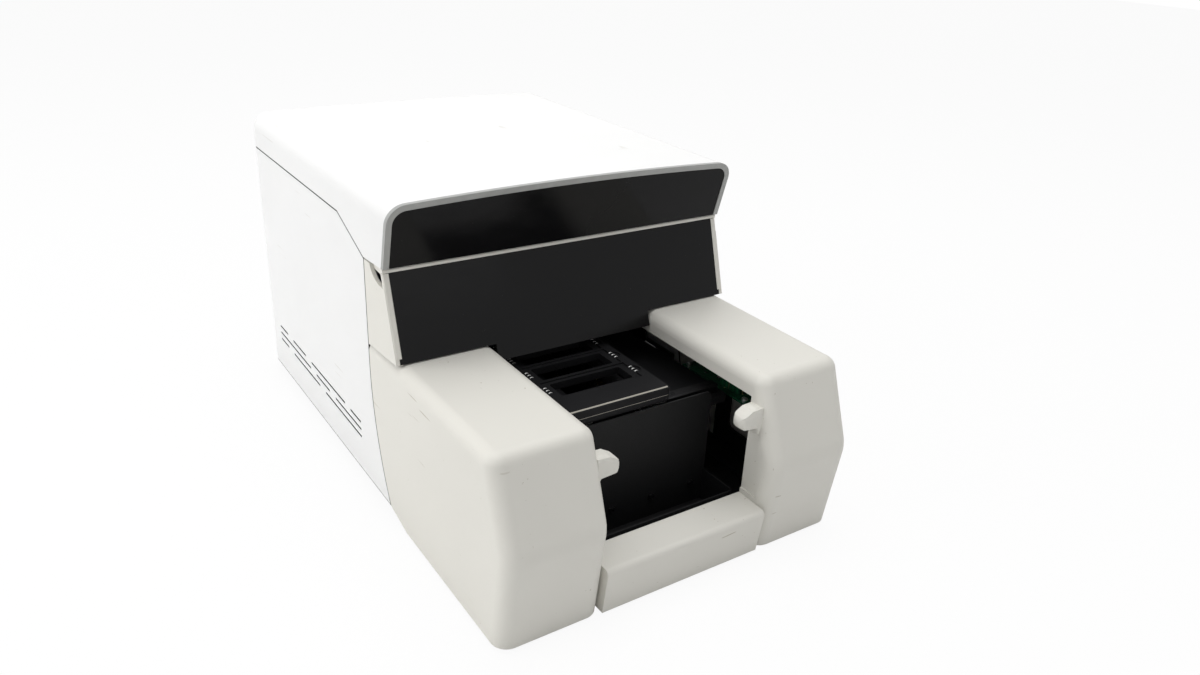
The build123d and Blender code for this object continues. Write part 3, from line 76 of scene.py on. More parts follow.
# %% Camera
camera_place = Vector((-382.5, -674.3, 460.0)) * mm
camera_yaw, camera_pitch, camera_roll = radians(34.72), radians(24.79), radians(2.97)
sensor_width = 36.0
focal_share = 957.5 / 1200          # focal length over the picture's width


def camera_turn(yaw, pitch, roll):
    """The camera's axes, as the columns of a turn: right, up and backwards."""
    ahead = Vector((sin(yaw) * cos(pitch), cos(yaw) * cos(pitch), -sin(pitch)))
    level = Vector((cos(yaw), -sin(yaw), 0.0))
    over = level.cross(ahead)
    right = cos(roll) * level + sin(roll) * over
    up = cos(roll) * over - sin(roll) * level
    return Matrix((right, up, -ahead)).transposed()


lens = bpy.data.cameras.new("studio_camera")
lens.sensor_width = sensor_width
lens.lens = sensor_width * focal_share
lens.clip_start = 0.01
studio_camera = link_object("studio_camera", lens)
studio_camera.matrix_world = (Matrix.Translation(camera_place)
                              @ camera_turn(camera_yaw, camera_pitch, camera_roll).to_4x4())
bpy.context.scene.camera = studio_camera
print("lens:", round(lens.lens, 2), "mm")

# %% [markdown]
# ## Maths and nodes
# A finish and a repeating pattern are both graphs of nodes. To keep them readable,
# one small class stands for a socket: adding or multiplying two of them adds a Math
# node. One method of a second class makes every other kind of node.

# %% Values that add their own Math nodes


class Value:
    """A number in a graph; arithmetic and comparisons on it add Math nodes."""

    def __init__(self, graph, socket):
        self.graph, self.socket = graph, socket

    def maths(self, operation, *inputs):
        """A Math node on these inputs, or on this number alone."""
        made = self.graph.node("ShaderNodeMath", {"operation": operation},
                               dict(enumerate(inputs or (self,))))
        return Value(self.graph, made.outputs[0])

    def __add__(self, other):
        return self.maths("ADD", self, other)

    def __sub__(self, other):
        return self.maths("SUBTRACT", self, other)

    def __rsub__(self, other):
        return self.maths("SUBTRACT", other, self)

    def __mul__(self, other):
        return self.maths("MULTIPLY", self, other)

    def __truediv__(self, other):
        return self.maths("DIVIDE", self, other)

    def __abs__(self):
        return self.maths("ABSOLUTE")

    def __gt__(self, other):
        return self.maths("GREATER_THAN", self, other)

    def __lt__(self, other):
        return self.maths("LESS_THAN", self, other)

    def least(self, other):
        return self.maths("MINIMUM", self, other)

    def most(self, other):
        return self.maths("MAXIMUM", self, other)

    def ramp(self, low, high):
        """0 below low, 1 above high, with a smooth rise between."""
        made = self.graph.node("ShaderNodeMapRange", {"interpolation_type": "SMOOTHSTEP"},
                               {"Value": self, "From Min": low, "From Max": high})
        return Value(self.graph, made.outputs[0])

    __radd__ = __add__
    __rmul__ = __mul__


class Graph:
    """A tree of nodes, for a material or for a pattern of pieces."""

    def node(self, kind, settings=None, inputs=None):
        """Any node: its settings first, then the values or links of its sockets."""
        made = self.tree.nodes.new(kind)
        for key, setting in (settings or {}).items():
            setattr(made, key, setting)
        for key, given in (inputs or {}).items():
            socket = made.inputs[key.replace("_", " ") if isinstance(key, str) else key]
            given = given.socket if isinstance(given, Value) else given
            if isinstance(given, bpy.types.NodeSocket):
                self.tree.links.new(given, socket)
            elif isinstance(given, tuple) and len(given) == 3 and socket.type == "RGBA":
                socket.default_value = (*given, 1.0)
            else:
                socket.default_value = given
        return made

    def split(self, vector):
        """The three numbers of a vector."""
        parts = self.node("ShaderNodeSeparateXYZ", {}, {0: vector}).outputs
        return [Value(self, part) for part in parts]


print("graph helpers ready")

# %% [markdown]
# ## A finish
# A finish is a material whose colour, roughness and relief are worked out by nodes
# from the place on the machine. Noise and cells of several sizes are cut off, mixed
# and multiplied, and the results go into the sockets of one shader.

# %% Finishes
finishes = {}


class Finish(Graph):
    """A material that is being made, with its Principled shader."""

    def __init__(self, name, **constants):
        self.material = finishes[name] = bpy.data.materials.new(name)
        self.material.use_nodes = True
        self.tree = self.material.node_tree
        self.tree.nodes.clear()
        self.shader = self.node("ShaderNodeBsdfPrincipled", {}, constants)
        self.out = self.node("ShaderNodeOutputMaterial", {},
                             {"Surface": self.shader.outputs[0]})
        self.place = self.node("ShaderNodeTexCoord").outputs["Object"]

    def stretched(self, scale):
        """The place on the object, drawn out differently along each axis."""
        return self.node("ShaderNodeMapping", {}, {"Vector": self.place,
                                                   "Scale": scale}).outputs[0]

    def noise(self, scale, detail=2.0, where=None):
        """Soft clouds; a larger scale makes them smaller."""
        made = self.node("ShaderNodeTexNoise", {},
                         {"Vector": where or self.place, "Scale": scale, "Detail": detail})
        return Value(self, made.outputs[0])

    def cells(self, scale, where=None, feature="F1", output="Distance"):
        """Flat cells, such as crystals or the fields between tracks."""
        made = self.node("ShaderNodeTexVoronoi", {"feature": feature},
                         {"Vector": where or self.place, "Scale": scale})
        return Value(self, made.outputs[output])

    def blend(self, mask, low, high):
        """A colour between two, by a mask."""
        made = self.node("ShaderNodeMix", {"data_type": "RGBA"}, {0: mask})
        for key, given in ((6, low), (7, high)):
            if isinstance(given, tuple):
                made.inputs[key].default_value = (*given, 1.0)
            else:
                self.tree.links.new(given, made.inputs[key])
        return made.outputs[2]

    def set(self, **given):
        """Link what varies into the shader's sockets."""
        for key, value in given.items():
            value = value.socket if isinstance(value, Value) else value
            self.tree.links.new(value, self.shader.inputs[key.replace("_", " ")])

    def bump(self, *layers):
        """Relief from pairs of a height and its depth in metres."""
        normal = None
        for height, depth in layers:
            made = self.node("ShaderNodeBump", {}, {"Height": height, "Distance": depth})
            if normal:
                self.tree.links.new(normal, made.inputs["Normal"])
            normal = made.outputs[0]
        self.tree.links.new(normal, self.shader.inputs["Normal"])


print("finish helpers ready")

# %% [markdown]
# ## Where the seams run
# A seam on a pale machine lies in shadow, and the covers' finish paints that shade:
# a dark line along each seam, at the covers' feet and inside the vent slots. The
# covers' finish needs to know where the seams are, and so do the dark strips that
# lie in them further on. Seen from the side, the hood's seam is level, then slants
# down to the front, and the side panel's front seam is upright, then bends forward.
# A place in that view is a pair of a depth and a height, kept as the x and y of a vector.
# A comparison in a graph is 1 where it holds. Added to a distance it means one
# metre, so it keeps a line away from where the seam has ended.

# %% Seams
half_gap, skin = 0.25 * mm, 3.0 * mm
frame_low, frame_high = box_of("fascia_frame")
side_low, side_high = box_of("side_panel_left")
case_half = frame_high.x
hood_seam_z = side_high.z + half_gap
hood_kink = Vector((frame_high.y + 52.7 * mm, hood_seam_z))
hood_slant = Vector((frame_high.y + 1.5 * mm, frame_high.z + 0.6 * mm))
hood_rear = Vector((side_high.y - 18 * mm, hood_seam_z))
front_y, bend_z = frame_high.y + half_gap, frame_low.z - 12.9 * mm
foot = Vector((side_low.y - half_gap, side_low.z))
bend_depth, bend_drop = front_y - foot.x, foot.y - bend_z
bend_radius = (bend_drop ** 2 / bend_depth + bend_depth) / 2
slots_low, slots_high, slots_end = (side_low.z + 24 * mm, side_low.z + 52 * mm,
                                    side_high.y - 30 * mm)
line_core, line_edge, slot_fade = 0.45 * mm, 0.85 * mm, 1.0 * mm
print("the front seam bends at a radius of", round(bend_radius / mm), "mm")


def painted_seam_shade(finish):
    """Painted shade: 1 along the outer faces' seams, at the covers' feet and inside the vent
    slots.
    """
    x, y, z = finish.split(finish.place)
    outside = abs(x)
    run = (hood_kink - hood_slant).normalized()
    behind_kink = y > hood_kink.x
    level = abs(z - hood_seam_z)
    slanted = abs((z - hood_slant.y) * run.x - (y - hood_slant.x) * run.y)
    on_frame = y < frame_high.y
    hood_line = level * behind_kink + slanted * (1.0 - behind_kink) + on_frame
    below_bend = (z - bend_z).least(0.0)
    from_middle = y - (front_y - bend_radius)
    reach = (from_middle * from_middle + below_bend * below_bend).maths("SQRT")
    front_line = abs(reach - bend_radius) + (z > frame_high.z)
    foot_line = abs(z - side_low.z) + (y < foot.x)
    nearest = hood_line.least(front_line).least(foot_line)
    on_face = outside.ramp(case_half - skin - 0.2 * mm, case_half - skin)
    line = (1.0 - nearest.ramp(line_core, line_edge)) * on_face
    in_rows = z.ramp(slots_low, slots_low + slot_fade) * (
        1.0 - z.ramp(slots_high, slots_high + slot_fade))
    sunk = 1.0 - outside.ramp(case_half - 0.25 * mm, case_half - 0.1 * mm)
    # painted shade inside the vent slots' recesses
    slot_shade = in_rows * sunk * (y > front_y) * (y < slots_end)
    return (line + slot_shade).least(1.0)


# %% [markdown]
# ## The moulded covers
# The hood and the side panels are moulded plastic, painted a cool white, and the
# arms, the fascia's frame and the sill are a warmer off-white. Moulds for such
# covers are given a fine spark texture, so the finish needs a very small grain, a
# wide soft highlight, and the few scuffs and specks of years on a bench. Noise that
# is cut off high gives specks, and noise drawn out along one axis gives scratches.

# %% Moulded covers
rare = (0.735, 0.765)               # noise cut off here leaves only a few specks
# the colour and strength of the painted shade along the seams, at the covers' feet and in the
# vent slots
seam_shade_tone, seam_shade_share = (0.02, 0.02, 0.018), 0.93


def moulded_cover(name, colour, soiled, wear):
    """Spark-textured plastic under paint, with a few specks and scratches, and painted shade
    along the seams.
    """
    finish = Finish(name, Roughness=0.5, Specular_IOR_Level=0.4)
    clouds = finish.noise(9.0, 3.0)
    specks = finish.noise(420.0).ramp(*rare) * finish.noise(23.0).ramp(0.5, 0.6)
    scratch = finish.noise(60.0, 1.0, finish.stretched((1.0, 0.22, 5.0))).ramp(0.735, 0.76)
    marks = (specks + scratch * finish.noise(14.0).ramp(0.5, 0.62)) * wear
    shaded = tuple(part * 0.975 for part in colour)
    tone = finish.blend(clouds.ramp(0.25, 0.8), colour, shaded)
    worn = finish.blend(marks, tone, soiled)
    # painted shade: near black along the seams, at the covers' feet and in the vent slots
    finish.set(Base_Color=finish.blend(seam_shade_share * painted_seam_shade(finish), worn, seam_shade_tone),
               Roughness=0.46 + 0.12 * clouds - 0.1 * marks)
    finish.bump((finish.noise(2600.0), 0.00006), (marks, 0.00005))
    return finish.material


white_cover = moulded_cover("white_cover", (0.85, 0.85, 0.845), (0.6, 0.58, 0.53), 0.4)
cream_cover = moulded_cover("cream_cover", (0.74, 0.725, 0.67), (0.42, 0.38, 0.3), 0.8)
print("covers:", white_cover.name, cream_cover.name)

# %% [markdown]
# ## Trim and black gloss
# A satin grey rim frames the black band of the hood. The band and the fascia below
# it are smooth black acrylic, so nearly all their look is reflection, broken by
# faint wiping marks in the roughness and a little dust.

# %% Grey trim and black acrylic
trim = Finish("grey_trim", Metallic=0.25)
trim_cloud = trim.noise(140.0)
trim.set(Roughness=0.36 + 0.1 * trim_cloud,
         Base_Color=trim.blend(trim_cloud, (0.34, 0.345, 0.335), (0.41, 0.415, 0.405)))
trim.bump((trim.noise(3000.0), 0.00002))

acrylic = Finish("black_gloss", Specular_IOR_Level=0.14)
dust = acrylic.noise(900.0).ramp(0.74, 0.78) * acrylic.noise(30.0).ramp(0.45, 0.6)
wiping = acrylic.noise(34.0, 4.0, acrylic.stretched((1.0, 1.0, 2.6)))
acrylic.set(Base_Color=acrylic.blend(dust * 0.5, (0.006, 0.006, 0.0065), (0.07, 0.07, 0.07)),
            Roughness=0.12 + 0.1 * wiping.ramp(0.4, 0.75) + 0.3 * dust)
acrylic.bump((acrylic.noise(11.0, 1.0), 0.0002))
print("front finishes:", trim.material.name, acrylic.material.name)

# %% [markdown]
# ## Metals
# The stage is black anodised aluminium, the rails are ground steel, the power
# supply's case is galvanised sheet, and the optics' stand is milled aluminium. Each
# one is told apart by its grain: fine even grain for anodising, long lines for
# grinding, and flat many-sided crystals for zinc. The tray and the plate under it
# are anodised too, but their front edges are cut afterwards to bare metal, and the
# pale beige band painted there also stands in for the edge's highlight. An edge is
# where height minus depth is greatest, which is one subtraction.

# %% Metals


def anodised(name, cut_at=None, bare_highlight_from=(0.0, 1.0)):
    """Black anodised aluminium, with a pale band where z - y is past the cut and z past
    bare_highlight_from: bare metal and painted highlight.
    """
    finish = Finish(name, Specular_IOR_Level=0.18)
    grain = finish.noise(1500.0, 3.0)
    colour = finish.blend(grain, (0.006, 0.006, 0.007), (0.013, 0.013, 0.014))
    roughness = 0.42 + 0.16 * finish.noise(45.0, 3.0)
    metal = 0.2 + 0.1 * grain
    if cut_at:
        y, z = finish.split(finish.place)[1:]
        # painted highlight: the cut edge gets a pale beige band, partly bare metal and partly the
        # edge's highlight
        bare_and_highlight = (z - y).ramp(cut_at - 0.12 * mm, cut_at - 0.04 * mm) * z.ramp(*bare_highlight_from)
        colour = finish.blend(bare_and_highlight, colour, (0.4, 0.38, 0.33))
        roughness = roughness - 0.05 * bare_and_highlight
    finish.set(Base_Color=colour, Roughness=roughness, Metallic=metal)
    finish.bump((grain, 0.00002))
    return finish.material


def front_edge(node, cut, bright):
    """Where the cut along a node's upper front edge is, and the heights where its pale band of
    bare metal and painted highlight begins.
    """
    low, high = box_of(node)
    return high.z - low.y - cut, (high.z - bright - 0.1 * mm, high.z - bright)


black_anodised = anodised("black_anodised")
tray_chamfer, plate_edge = 1.4 * mm, 0.3 * mm
tray_finish = anodised("tray_finish", *front_edge("slide_tray", tray_chamfer, tray_chamfer / 2))
plate_finish = anodised("plate_finish", *front_edge("x_carriage", plate_edge, plate_edge))


def ground_metal(name, colour, drawn_out, dark, roughness=0.2):
    """Bright metal with fine lines along the axis in which the noise is drawn out."""
    finish = Finish(name, Metallic=1.0)
    lines = finish.noise(900.0, 3.0, finish.stretched(drawn_out))
    stains = finish.noise(60.0, 3.0).ramp(0.5, 0.8)
    finish.set(Base_Color=finish.blend(stains * 0.35, colour, dark),
               Roughness=roughness + 0.22 * lines + 0.1 * stains)
    finish.bump((lines, 0.00002))
    return finish.material


bright_steel = ground_metal("bright_steel", (0.6, 0.6, 0.59), (1.0, 0.02, 1.0),
                            (0.4, 0.38, 0.35))
black_steel = ground_metal("black_steel", (0.035, 0.035, 0.037), (1.0, 1.0, 1.0),
                           (0.02, 0.019, 0.018), 0.35)
ground_metal("brass", (0.7, 0.52, 0.25), (1.0, 1.0, 0.1), (0.42, 0.3, 0.13), 0.22)
ground_metal("raw_aluminium", (0.6, 0.61, 0.62), (0.12, 1.0, 1.0), (0.45, 0.46, 0.47), 0.3)

zinc = Finish("cage_steel", Metallic=0.9)
crystal = zinc.cells(150.0, output="Color").socket
crystal_tone = Value(zinc, zinc.node("ShaderNodeSeparateColor", {}, {0: crystal}).outputs[0])
zinc.set(Base_Color=zinc.blend(crystal_tone, (0.4, 0.42, 0.44), (0.55, 0.57, 0.58)),
         Roughness=0.3 + 0.2 * crystal_tone)
zinc.bump((crystal_tone, 0.00003))
print("metals:", black_anodised.name, tray_finish.name, bright_steel.name, zinc.material.name)

# %% [markdown]
# ## Plastic, rubber, paint, board and glass
# The base and the arm's bracket are steel under black powder coat, whose bump is the
# soft lumps of melted powder. The boards are green lacquer over tracks: the borders
# of stretched cells look like tracks, and the middles of larger cells like pads.

# %% The rest of the finishes


def plain_moulding(name, colour, roughness, grain_scale, grain_depth, gloss=0.4):
    """One colour with an even grain, for plastic, rubber, paint and foam."""
    finish = Finish(name, Specular_IOR_Level=gloss)
    grain = finish.noise(grain_scale, 3.0)
    lighter = tuple(min(1.0, part * 1.5) for part in colour)
    finish.set(Base_Color=finish.blend(grain.ramp(0.3, 0.8), colour, lighter),
               Roughness=roughness + 0.12 * finish.noise(50.0))
    finish.bump((grain, grain_depth))
    return finish.material


plain_moulding("black_plastic", (0.007, 0.007, 0.0075), 0.5, 1400.0, 0.00006, 0.2)
plain_moulding("rubber", (0.022, 0.022, 0.022), 0.75, 700.0, 0.0001)
plain_moulding("motor_black", (0.014, 0.014, 0.015), 0.36, 900.0, 0.00004)
plain_moulding("zinc_sheet", (0.01, 0.01, 0.011), 0.42, 420.0, 0.00008, 0.25)

board = Finish("board_green", Specular_IOR_Level=0.4)
upright = board.stretched((1.0, 1.0, 0.02))
tracks = board.cells(230.0, upright, "DISTANCE_TO_EDGE").ramp(0.05, 0.09)
pads = board.cells(160.0, upright).ramp(0.1, 0.16)
green = board.blend(tracks, (0.006, 0.08, 0.03), (0.003, 0.04, 0.018))
board.set(Base_Color=board.blend(pads, (0.4, 0.33, 0.16), green),
          Roughness=0.34 + 0.1 * board.noise(300.0), Metallic=0.6 - 0.6 * pads)
board.bump((tracks, 0.00003))

lens_glass = Finish("glass", Base_Color=(0.93, 0.97, 0.97), Transmission_Weight=1.0, IOR=1.5)
lens_glass.set(Roughness=0.02 + 0.05 * lens_glass.noise(90.0).ramp(0.5, 0.9))
print("finishes:", sorted(finishes))

# %% [markdown]
# ## Putting the finishes on the solids
# Each solid arrives with a plain material named after its slot in the record. The
# procedural one takes that name's place, so a solid's slot picks its finish. The
# tray and its plate then get the finishes with their painted edge highlights, and the
# cross rails and the case screws, which can be seen in the dark bay, are blackened steel.

# %% Finishes on the solids
for solid in nodes.values():
    for slot in solid.material_slots:
        slot.material = finishes[slot.material.name.removeprefix("plain_")]
for name, finish in (("slide_tray", tray_finish), ("x_carriage", plate_finish),
                     ("x_rails", black_steel), ("case_screws", black_steel)):
    for slot in nodes[name].material_slots:
        slot.material = finish
print("solids dressed:", len(nodes))

# %% [markdown]
# ## New pieces from points
# Strips, seals, tabs and ribs are lofts: rows of points, each row a closed outline,
# joined by faces. A row may run either way round, so the faces of a closed piece are
# turned afterwards to look out of it.

# %% Pieces from points


def face_outwards(mesh):
    """Turn the faces of a closed mesh so that all of them look out of it."""
    shape = bmesh.new()
    shape.from_mesh(mesh)
    bmesh.ops.recalc_face_normals(shape, faces=shape.faces)
    shape.to_mesh(mesh)
    shape.free()


def piece_from(name, points, faces, finish, body, smooth=False, closed=True):
    """A new piece from points and faces, with one finish, riding on a body."""
    mesh = bpy.data.meshes.new(name)
    mesh.from_pydata([tuple(point) for point in points], [], faces)
    if closed:
        face_outwards(mesh)
    mesh.materials.append(finish)
    if smooth:
        mesh.shade_smooth()
    else:
        mesh.shade_flat()
    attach(link_object(name, mesh), body)


def tube_faces(rows, count, closed_ends=True):
    """Faces between rows of as many points, each row a closed loop."""
    faces = []
    for row in range(rows - 1):
        for at in range(count):
            after = (at + 1) % count
            faces.append((row * count + at, row * count + after,
                          (row + 1) * count + after, (row + 1) * count + at))
    if closed_ends:
        faces.append(tuple(reversed(range(count))))
        faces.append(tuple((rows - 1) * count + at for at in range(count)))
    return faces


def surface_of(node):
    """The node's surface, for rays."""
    mesh = nodes[node].data
    return BVHTree.FromPolygons([vertex.co for vertex in mesh.vertices],
                                [tuple(face.vertices) for face in mesh.polygons])


print("a square rod has", len(tube_faces(2, 4)), "faces")

# %% [markdown]
# ## The pale strips of the fascia's frame
# A pale strip shows between the black band and the fascia, and two more edge the
# fascia at its sides. They are thin mouldings pressed over the panel's edges. The
# fascia leans back, so a ray at each height finds where its face is, and the strip is
# a loft through outlines placed there.

# %% Fascia strips
fascia = surface_of("fascia_panel")
panel_low, panel_high = box_of("fascia_panel")
strip_width, strip_lift, strip_gap, strip_depth = 4.9 * mm, 0.5 * mm, 0.3 * mm, 2.8 * mm


def fascia_face(x, z):
    """How far back the fascia's face is at this place."""
    return fascia.ray_cast(Vector((x, panel_low.y - 20 * mm, z)), Vector((0, 1, 0)))[0].y


side_foot, side_top = frame_low.z + 9 * mm, panel_high.z - 0.5 * mm
for side, name in ((-1, "fascia_strip_left"), (1, "fascia_strip_right")):
    outer, inner = side * (case_half - 0.15 * mm), side * (case_half - strip_width)
    edge = side * (panel_high.x + 0.2 * mm)
    points = []
    for z in (side_foot, side_top):
        y = fascia_face(side * (panel_high.x - 8 * mm), z)
        outline = [(inner, y + 0.1 * mm), (inner, y - strip_lift * 0.6),
                   (inner + side * 0.5 * mm, y - strip_lift),
                   (outer - side * 0.8 * mm, y - strip_lift), (outer, y + 0.3 * mm),
                   (outer, y + strip_depth), (edge, y + strip_depth), (edge, y + 0.1 * mm)]
        points += [(x, across, z) for x, across in outline]
    piece_from(name, points, tube_faces(2, len(outline)), cream_cover, "chassis")

top_y = fascia_face(0.0, panel_high.z - 1 * mm)
ledge_low, ledge_high = panel_high.z + 0.05 * mm, box_of("hood_band")[0].z - strip_gap
ledge_rear = top_y + 4 * mm
outline = [(ledge_rear, ledge_low), (top_y - strip_lift, ledge_low),
           (top_y - strip_lift, ledge_high - 1.0 * mm), (top_y + 0.3 * mm, ledge_high),
           (ledge_rear, ledge_high)]
ledge_half = case_half - 0.2 * mm
piece_from("ledge_strip", [(x, y, z) for x in (-ledge_half, ledge_half) for y, z in outline],
           tube_faces(2, len(outline)), cream_cover, "chassis")
print("strips on a fascia that leans", round((top_y - panel_low.y) / mm, 1), "mm")

# %% [markdown]
# ## Dark sheets behind the vents
# A black foam sheet hangs behind each side's vent slots and stands in for the shade
# inside the case, so that the slots look black from outside. A sheet is one flat box
# just inside the panel.

# %% Dark sheets behind the vents
# a near-black foam for the sheets and strips that stand in for shade behind the vents, in the
# seams and over the base's slots
foam = plain_moulding("baffle_foam", (0.006, 0.006, 0.006), 0.85, 900.0, 0.00015, 0.1)


def sheet(name, low, high):
    """A flat dark sheet of foam between two corners, standing in for shade."""
    points = [(x, y, z) for z in (low[2], high[2])
              for x, y in ((low[0], low[1]), (high[0], low[1]), (high[0], high[1]),
                           (low[0], high[1]))]
    piece_from(name, points, tube_faces(2, 4), foam, "chassis")


shade_sheet_thickness, shade_sheet_gap = 0.8 * mm, 0.3 * mm
# dark sheets standing in for the shade behind the vent slots
for side, name in ((-1, "left"), (1, "right")):
    low, high = box_of("side_panel_" + name)
    near = side * (case_half - skin - shade_sheet_gap)
    sheet("vent_baffle_" + name, (near, low.y + 75 * mm, low.z + 24 * mm),
          (near - side * shade_sheet_thickness, high.y - 8 * mm, low.z + 110 * mm))
print("baffles hung")

# %% [markdown]
# ## Dark strips in the seams
# The covers meet over half-millimetre gaps, and a thin black foam strip in each gap
# stands in for the shade inside it, so that a seam reads as a dark line. Each strip
# follows its seam as seen from the side: a path is widened to a narrow band, and the
# band is given a depth between two distances from the middle.

# %% Seals
shade_seal_half, shade_seal_outer, shade_seal_inner = 0.21 * mm, 0.35 * mm, 2.8 * mm
bend_steps, bend_sweep = 12, asin(-bend_drop / bend_radius)
front_path = [Vector((front_y, frame_high.z)), Vector((front_y, bend_z))]
for step in range(1, bend_steps + 1):
    angle = bend_sweep * step / bend_steps
    front_path.append(Vector((front_y - bend_radius * (1 - cos(angle)),
                              bend_z - bend_radius * sin(angle))))
cheek_path = [Vector((frame_high.y, frame_low.z - half_gap)),
              Vector((frame_low.y + 1.5 * mm, frame_low.z + 4.7 * mm - half_gap))]


def shade_seal(name, side, path):
    """A thin dark band along a path of depths and heights, standing in for the shade in one
    side's seam.
    """
    along = [(after - before).normalized() for before, after in zip(path, path[1:])]
    normals = []
    for index in range(len(path)):
        lean = along[max(0, index - 1)] + along[min(index, len(along) - 1)]
        normals.append(Vector((-lean.y, lean.x)).normalized() * shade_seal_half)
    outline = ([place + normal for place, normal in zip(path, normals)]
               + [place - normal for place, normal in zip(path, normals)][::-1])
    points = [(side * (case_half - out), place.x, place.y)
              for out in (shade_seal_outer, shade_seal_inner) for place in outline]
    piece_from(name, points, tube_faces(2, len(outline)), foam, "chassis")


# dark strips standing in for the shade in the seams
for side, name in ((-1, "left"), (1, "right")):
    shade_seal("hood_seal_" + name, side, [hood_rear, hood_kink, hood_slant])
    shade_seal("front_seal_" + name, side, front_path)
    shade_seal("cheek_seal_" + name, side, cheek_path)
print("seals laid")

# %% [markdown]
# ## Dark sheets over the base's air slots
# Air comes in through slots in the base under each arm. A black foam sheet lies on
# the plate over them and stands in for the shade under the machine.

# %% Dark sheets over the air slots
intake_sheet_x, intake_sheet_y, intake_sheet_height = 100.0 * mm, -120.0 * mm, 0.9 * mm
intake_sheet_half = Vector((21.8 * mm, 22.89 * mm, 0.0))
plate_top = box_of("stage_bed")[0].z
# dark sheets standing in for the shade under the machine
for side, name in ((-1, "intake_filter_left"), (1, "intake_filter_right")):
    low = Vector((side * intake_sheet_x, intake_sheet_y, plate_top + 0.05 * mm)) - intake_sheet_half
    high = Vector((side * intake_sheet_x, intake_sheet_y, plate_top + intake_sheet_height)) + intake_sheet_half
    sheet(name, low, high)
print("filters laid")

# %% [markdown]
# ## The finger tabs
# A soft rounded tab stands on each arm's inner face, over the bay. It is made as a
# loft along the tab: each outline is a circle squared off a little, as deep and as
# high as the solid tab at that place, and the last ones shrink to a round end.

# %% Finger tabs
arm_face, tab_long, tab_bite = 72.0 * mm, 18.3 * mm, 1.2 * mm
tab_middle_y, tab_half_depth, tab_thickness = -227.0 * mm, 6.75 * mm, 9.0 * mm
tab_root_z, tab_tip_z = 121.9 * mm, 116.4 * mm
tab_level = 0.25                    # the share of the tab that doesn't fall yet
tab_over, tab_under = 0.7 * mm, 0.8 * mm    # how far the sleeve stands proud
flare_long, flare_drop, round_long = 5.5 * mm, 8.5 * mm, 6.0 * mm
tab_sides, tab_steps, squareness, roundness = 32, 22, 0.55, 2.6


def squared_circle(angle):
    """A point on a circle that is squared off."""
    c, s = cos(angle), sin(angle)
    return copysign(abs(c) ** squareness, c), copysign(abs(s) ** squareness, s)


def tab(name, side):
    """The rounded tab, from inside the arm's wall to its tip."""
    points = []
    for step in range(tab_steps + 1):
        reach = (tab_long + tab_bite) * step / tab_steps - tab_bite
        fall = max(0.0, reach / tab_long - tab_level) / (1 - tab_level)
        flare = max(0.0, 1 - max(0.0, reach) / flare_long) ** 2 * flare_drop
        top = tab_root_z + tab_over + (tab_tip_z - tab_root_z) * fall
        foot_z = tab_tip_z - tab_thickness - tab_under - flare
        rounded = max(0.0, (reach - (tab_long - round_long)) / round_long)
        shrink = max(0.02, 1 - rounded ** roundness) ** (1 / roundness)
        for index in range(tab_sides):
            y, z = squared_circle(2 * pi * (index + 0.5) / tab_sides)
            points.append((side * (arm_face - reach),
                           tab_middle_y + side * y * shrink * tab_half_depth,
                           (top + foot_z) / 2 + z * shrink * (top - foot_z) / 2))
    piece_from(name, points, tube_faces(tab_steps + 1, tab_sides), cream_cover, "chassis",
               smooth=True)


for side, name in ((-1, "finger_tab_left"), (1, "finger_tab_right")):
    tab(name, side)
print("tabs of", tab_steps, "outlines")

# %% [markdown]
# ## Patterns
# Screws, threads, springs and small board parts repeat, so Geometry Nodes make them.
# A pattern is a tree with named inputs for its sizes. A mesh of single points says
# where its pieces go, and the result is turned into a plain mesh that rides on the
# body that carries it.

# %% Patterns
socket_kinds = {int: "NodeSocketInt", float: "NodeSocketFloat", tuple: "NodeSocketVector",
                bpy.types.Material: "NodeSocketMaterial"}
places_in, finish_in = "Places", "finish"


class Pattern(Graph):
    """A Geometry Nodes tree whose named inputs are the sizes of what repeats."""

    def __init__(self, name, **sizes):
        self.tree = bpy.data.node_groups.new(name, "GeometryNodeTree")
        socket = self.tree.interface.new_socket
        socket(places_in, in_out="INPUT", socket_type="NodeSocketGeometry")
        socket("Pieces", in_out="OUTPUT", socket_type="NodeSocketGeometry")
        self.identifiers = {}
        for size, value in {**sizes, finish_in: white_cover}.items():
            made = socket(size, in_out="INPUT", socket_type=socket_kinds[type(value)])
            made.default_value = value
            self.identifiers[size] = made.identifier
        self.given = self.node("NodeGroupInput")

    def size(self, name):
        """The input of this name."""
        return Value(self, self.given.outputs[name])

    def vector(self, x=0.0, y=0.0, z=0.0):
        """One vector from three numbers, each fixed or worked out."""
        return self.node("ShaderNodeCombineXYZ", {}, {"X": x, "Y": y, "Z": z}).outputs[0]

    def end(self, geometry):
        """Every tree ends in real geometry with its finish."""
        real = self.node("GeometryNodeRealizeInstances", {}, {0: geometry})
        dressed = self.node("GeometryNodeSetMaterial", {},
                            {"Geometry": real.outputs[0], "Material": self.size(finish_in)})
        self.node("NodeGroupOutput", {}, {0: dressed.outputs[0]})

    def make(self, name, places, body, faces=(), **sizes):
        """The pattern at these places, as one plain mesh that rides on a body."""
        mesh = bpy.data.meshes.new(name)
        mesh.from_pydata([tuple(place) for place in places], [], list(faces))
        piece = link_object(name, mesh)
        modifier = piece.modifiers.new("pattern", "NODES")
        modifier.node_group = self.tree
        for size, value in sizes.items():
            modifier[self.identifiers[size]] = value
        graph = bpy.context.evaluated_depsgraph_get()
        made = bpy.data.meshes.new_from_object(piece.evaluated_get(graph))
        piece.modifiers.clear()
        piece.data = made
        made.name = name
        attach(piece, body)
        print(name, "-", len(made.polygons), "faces on", body)
        return piece


print("inputs of these kinds:", [kind.__name__ for kind in socket_kinds])

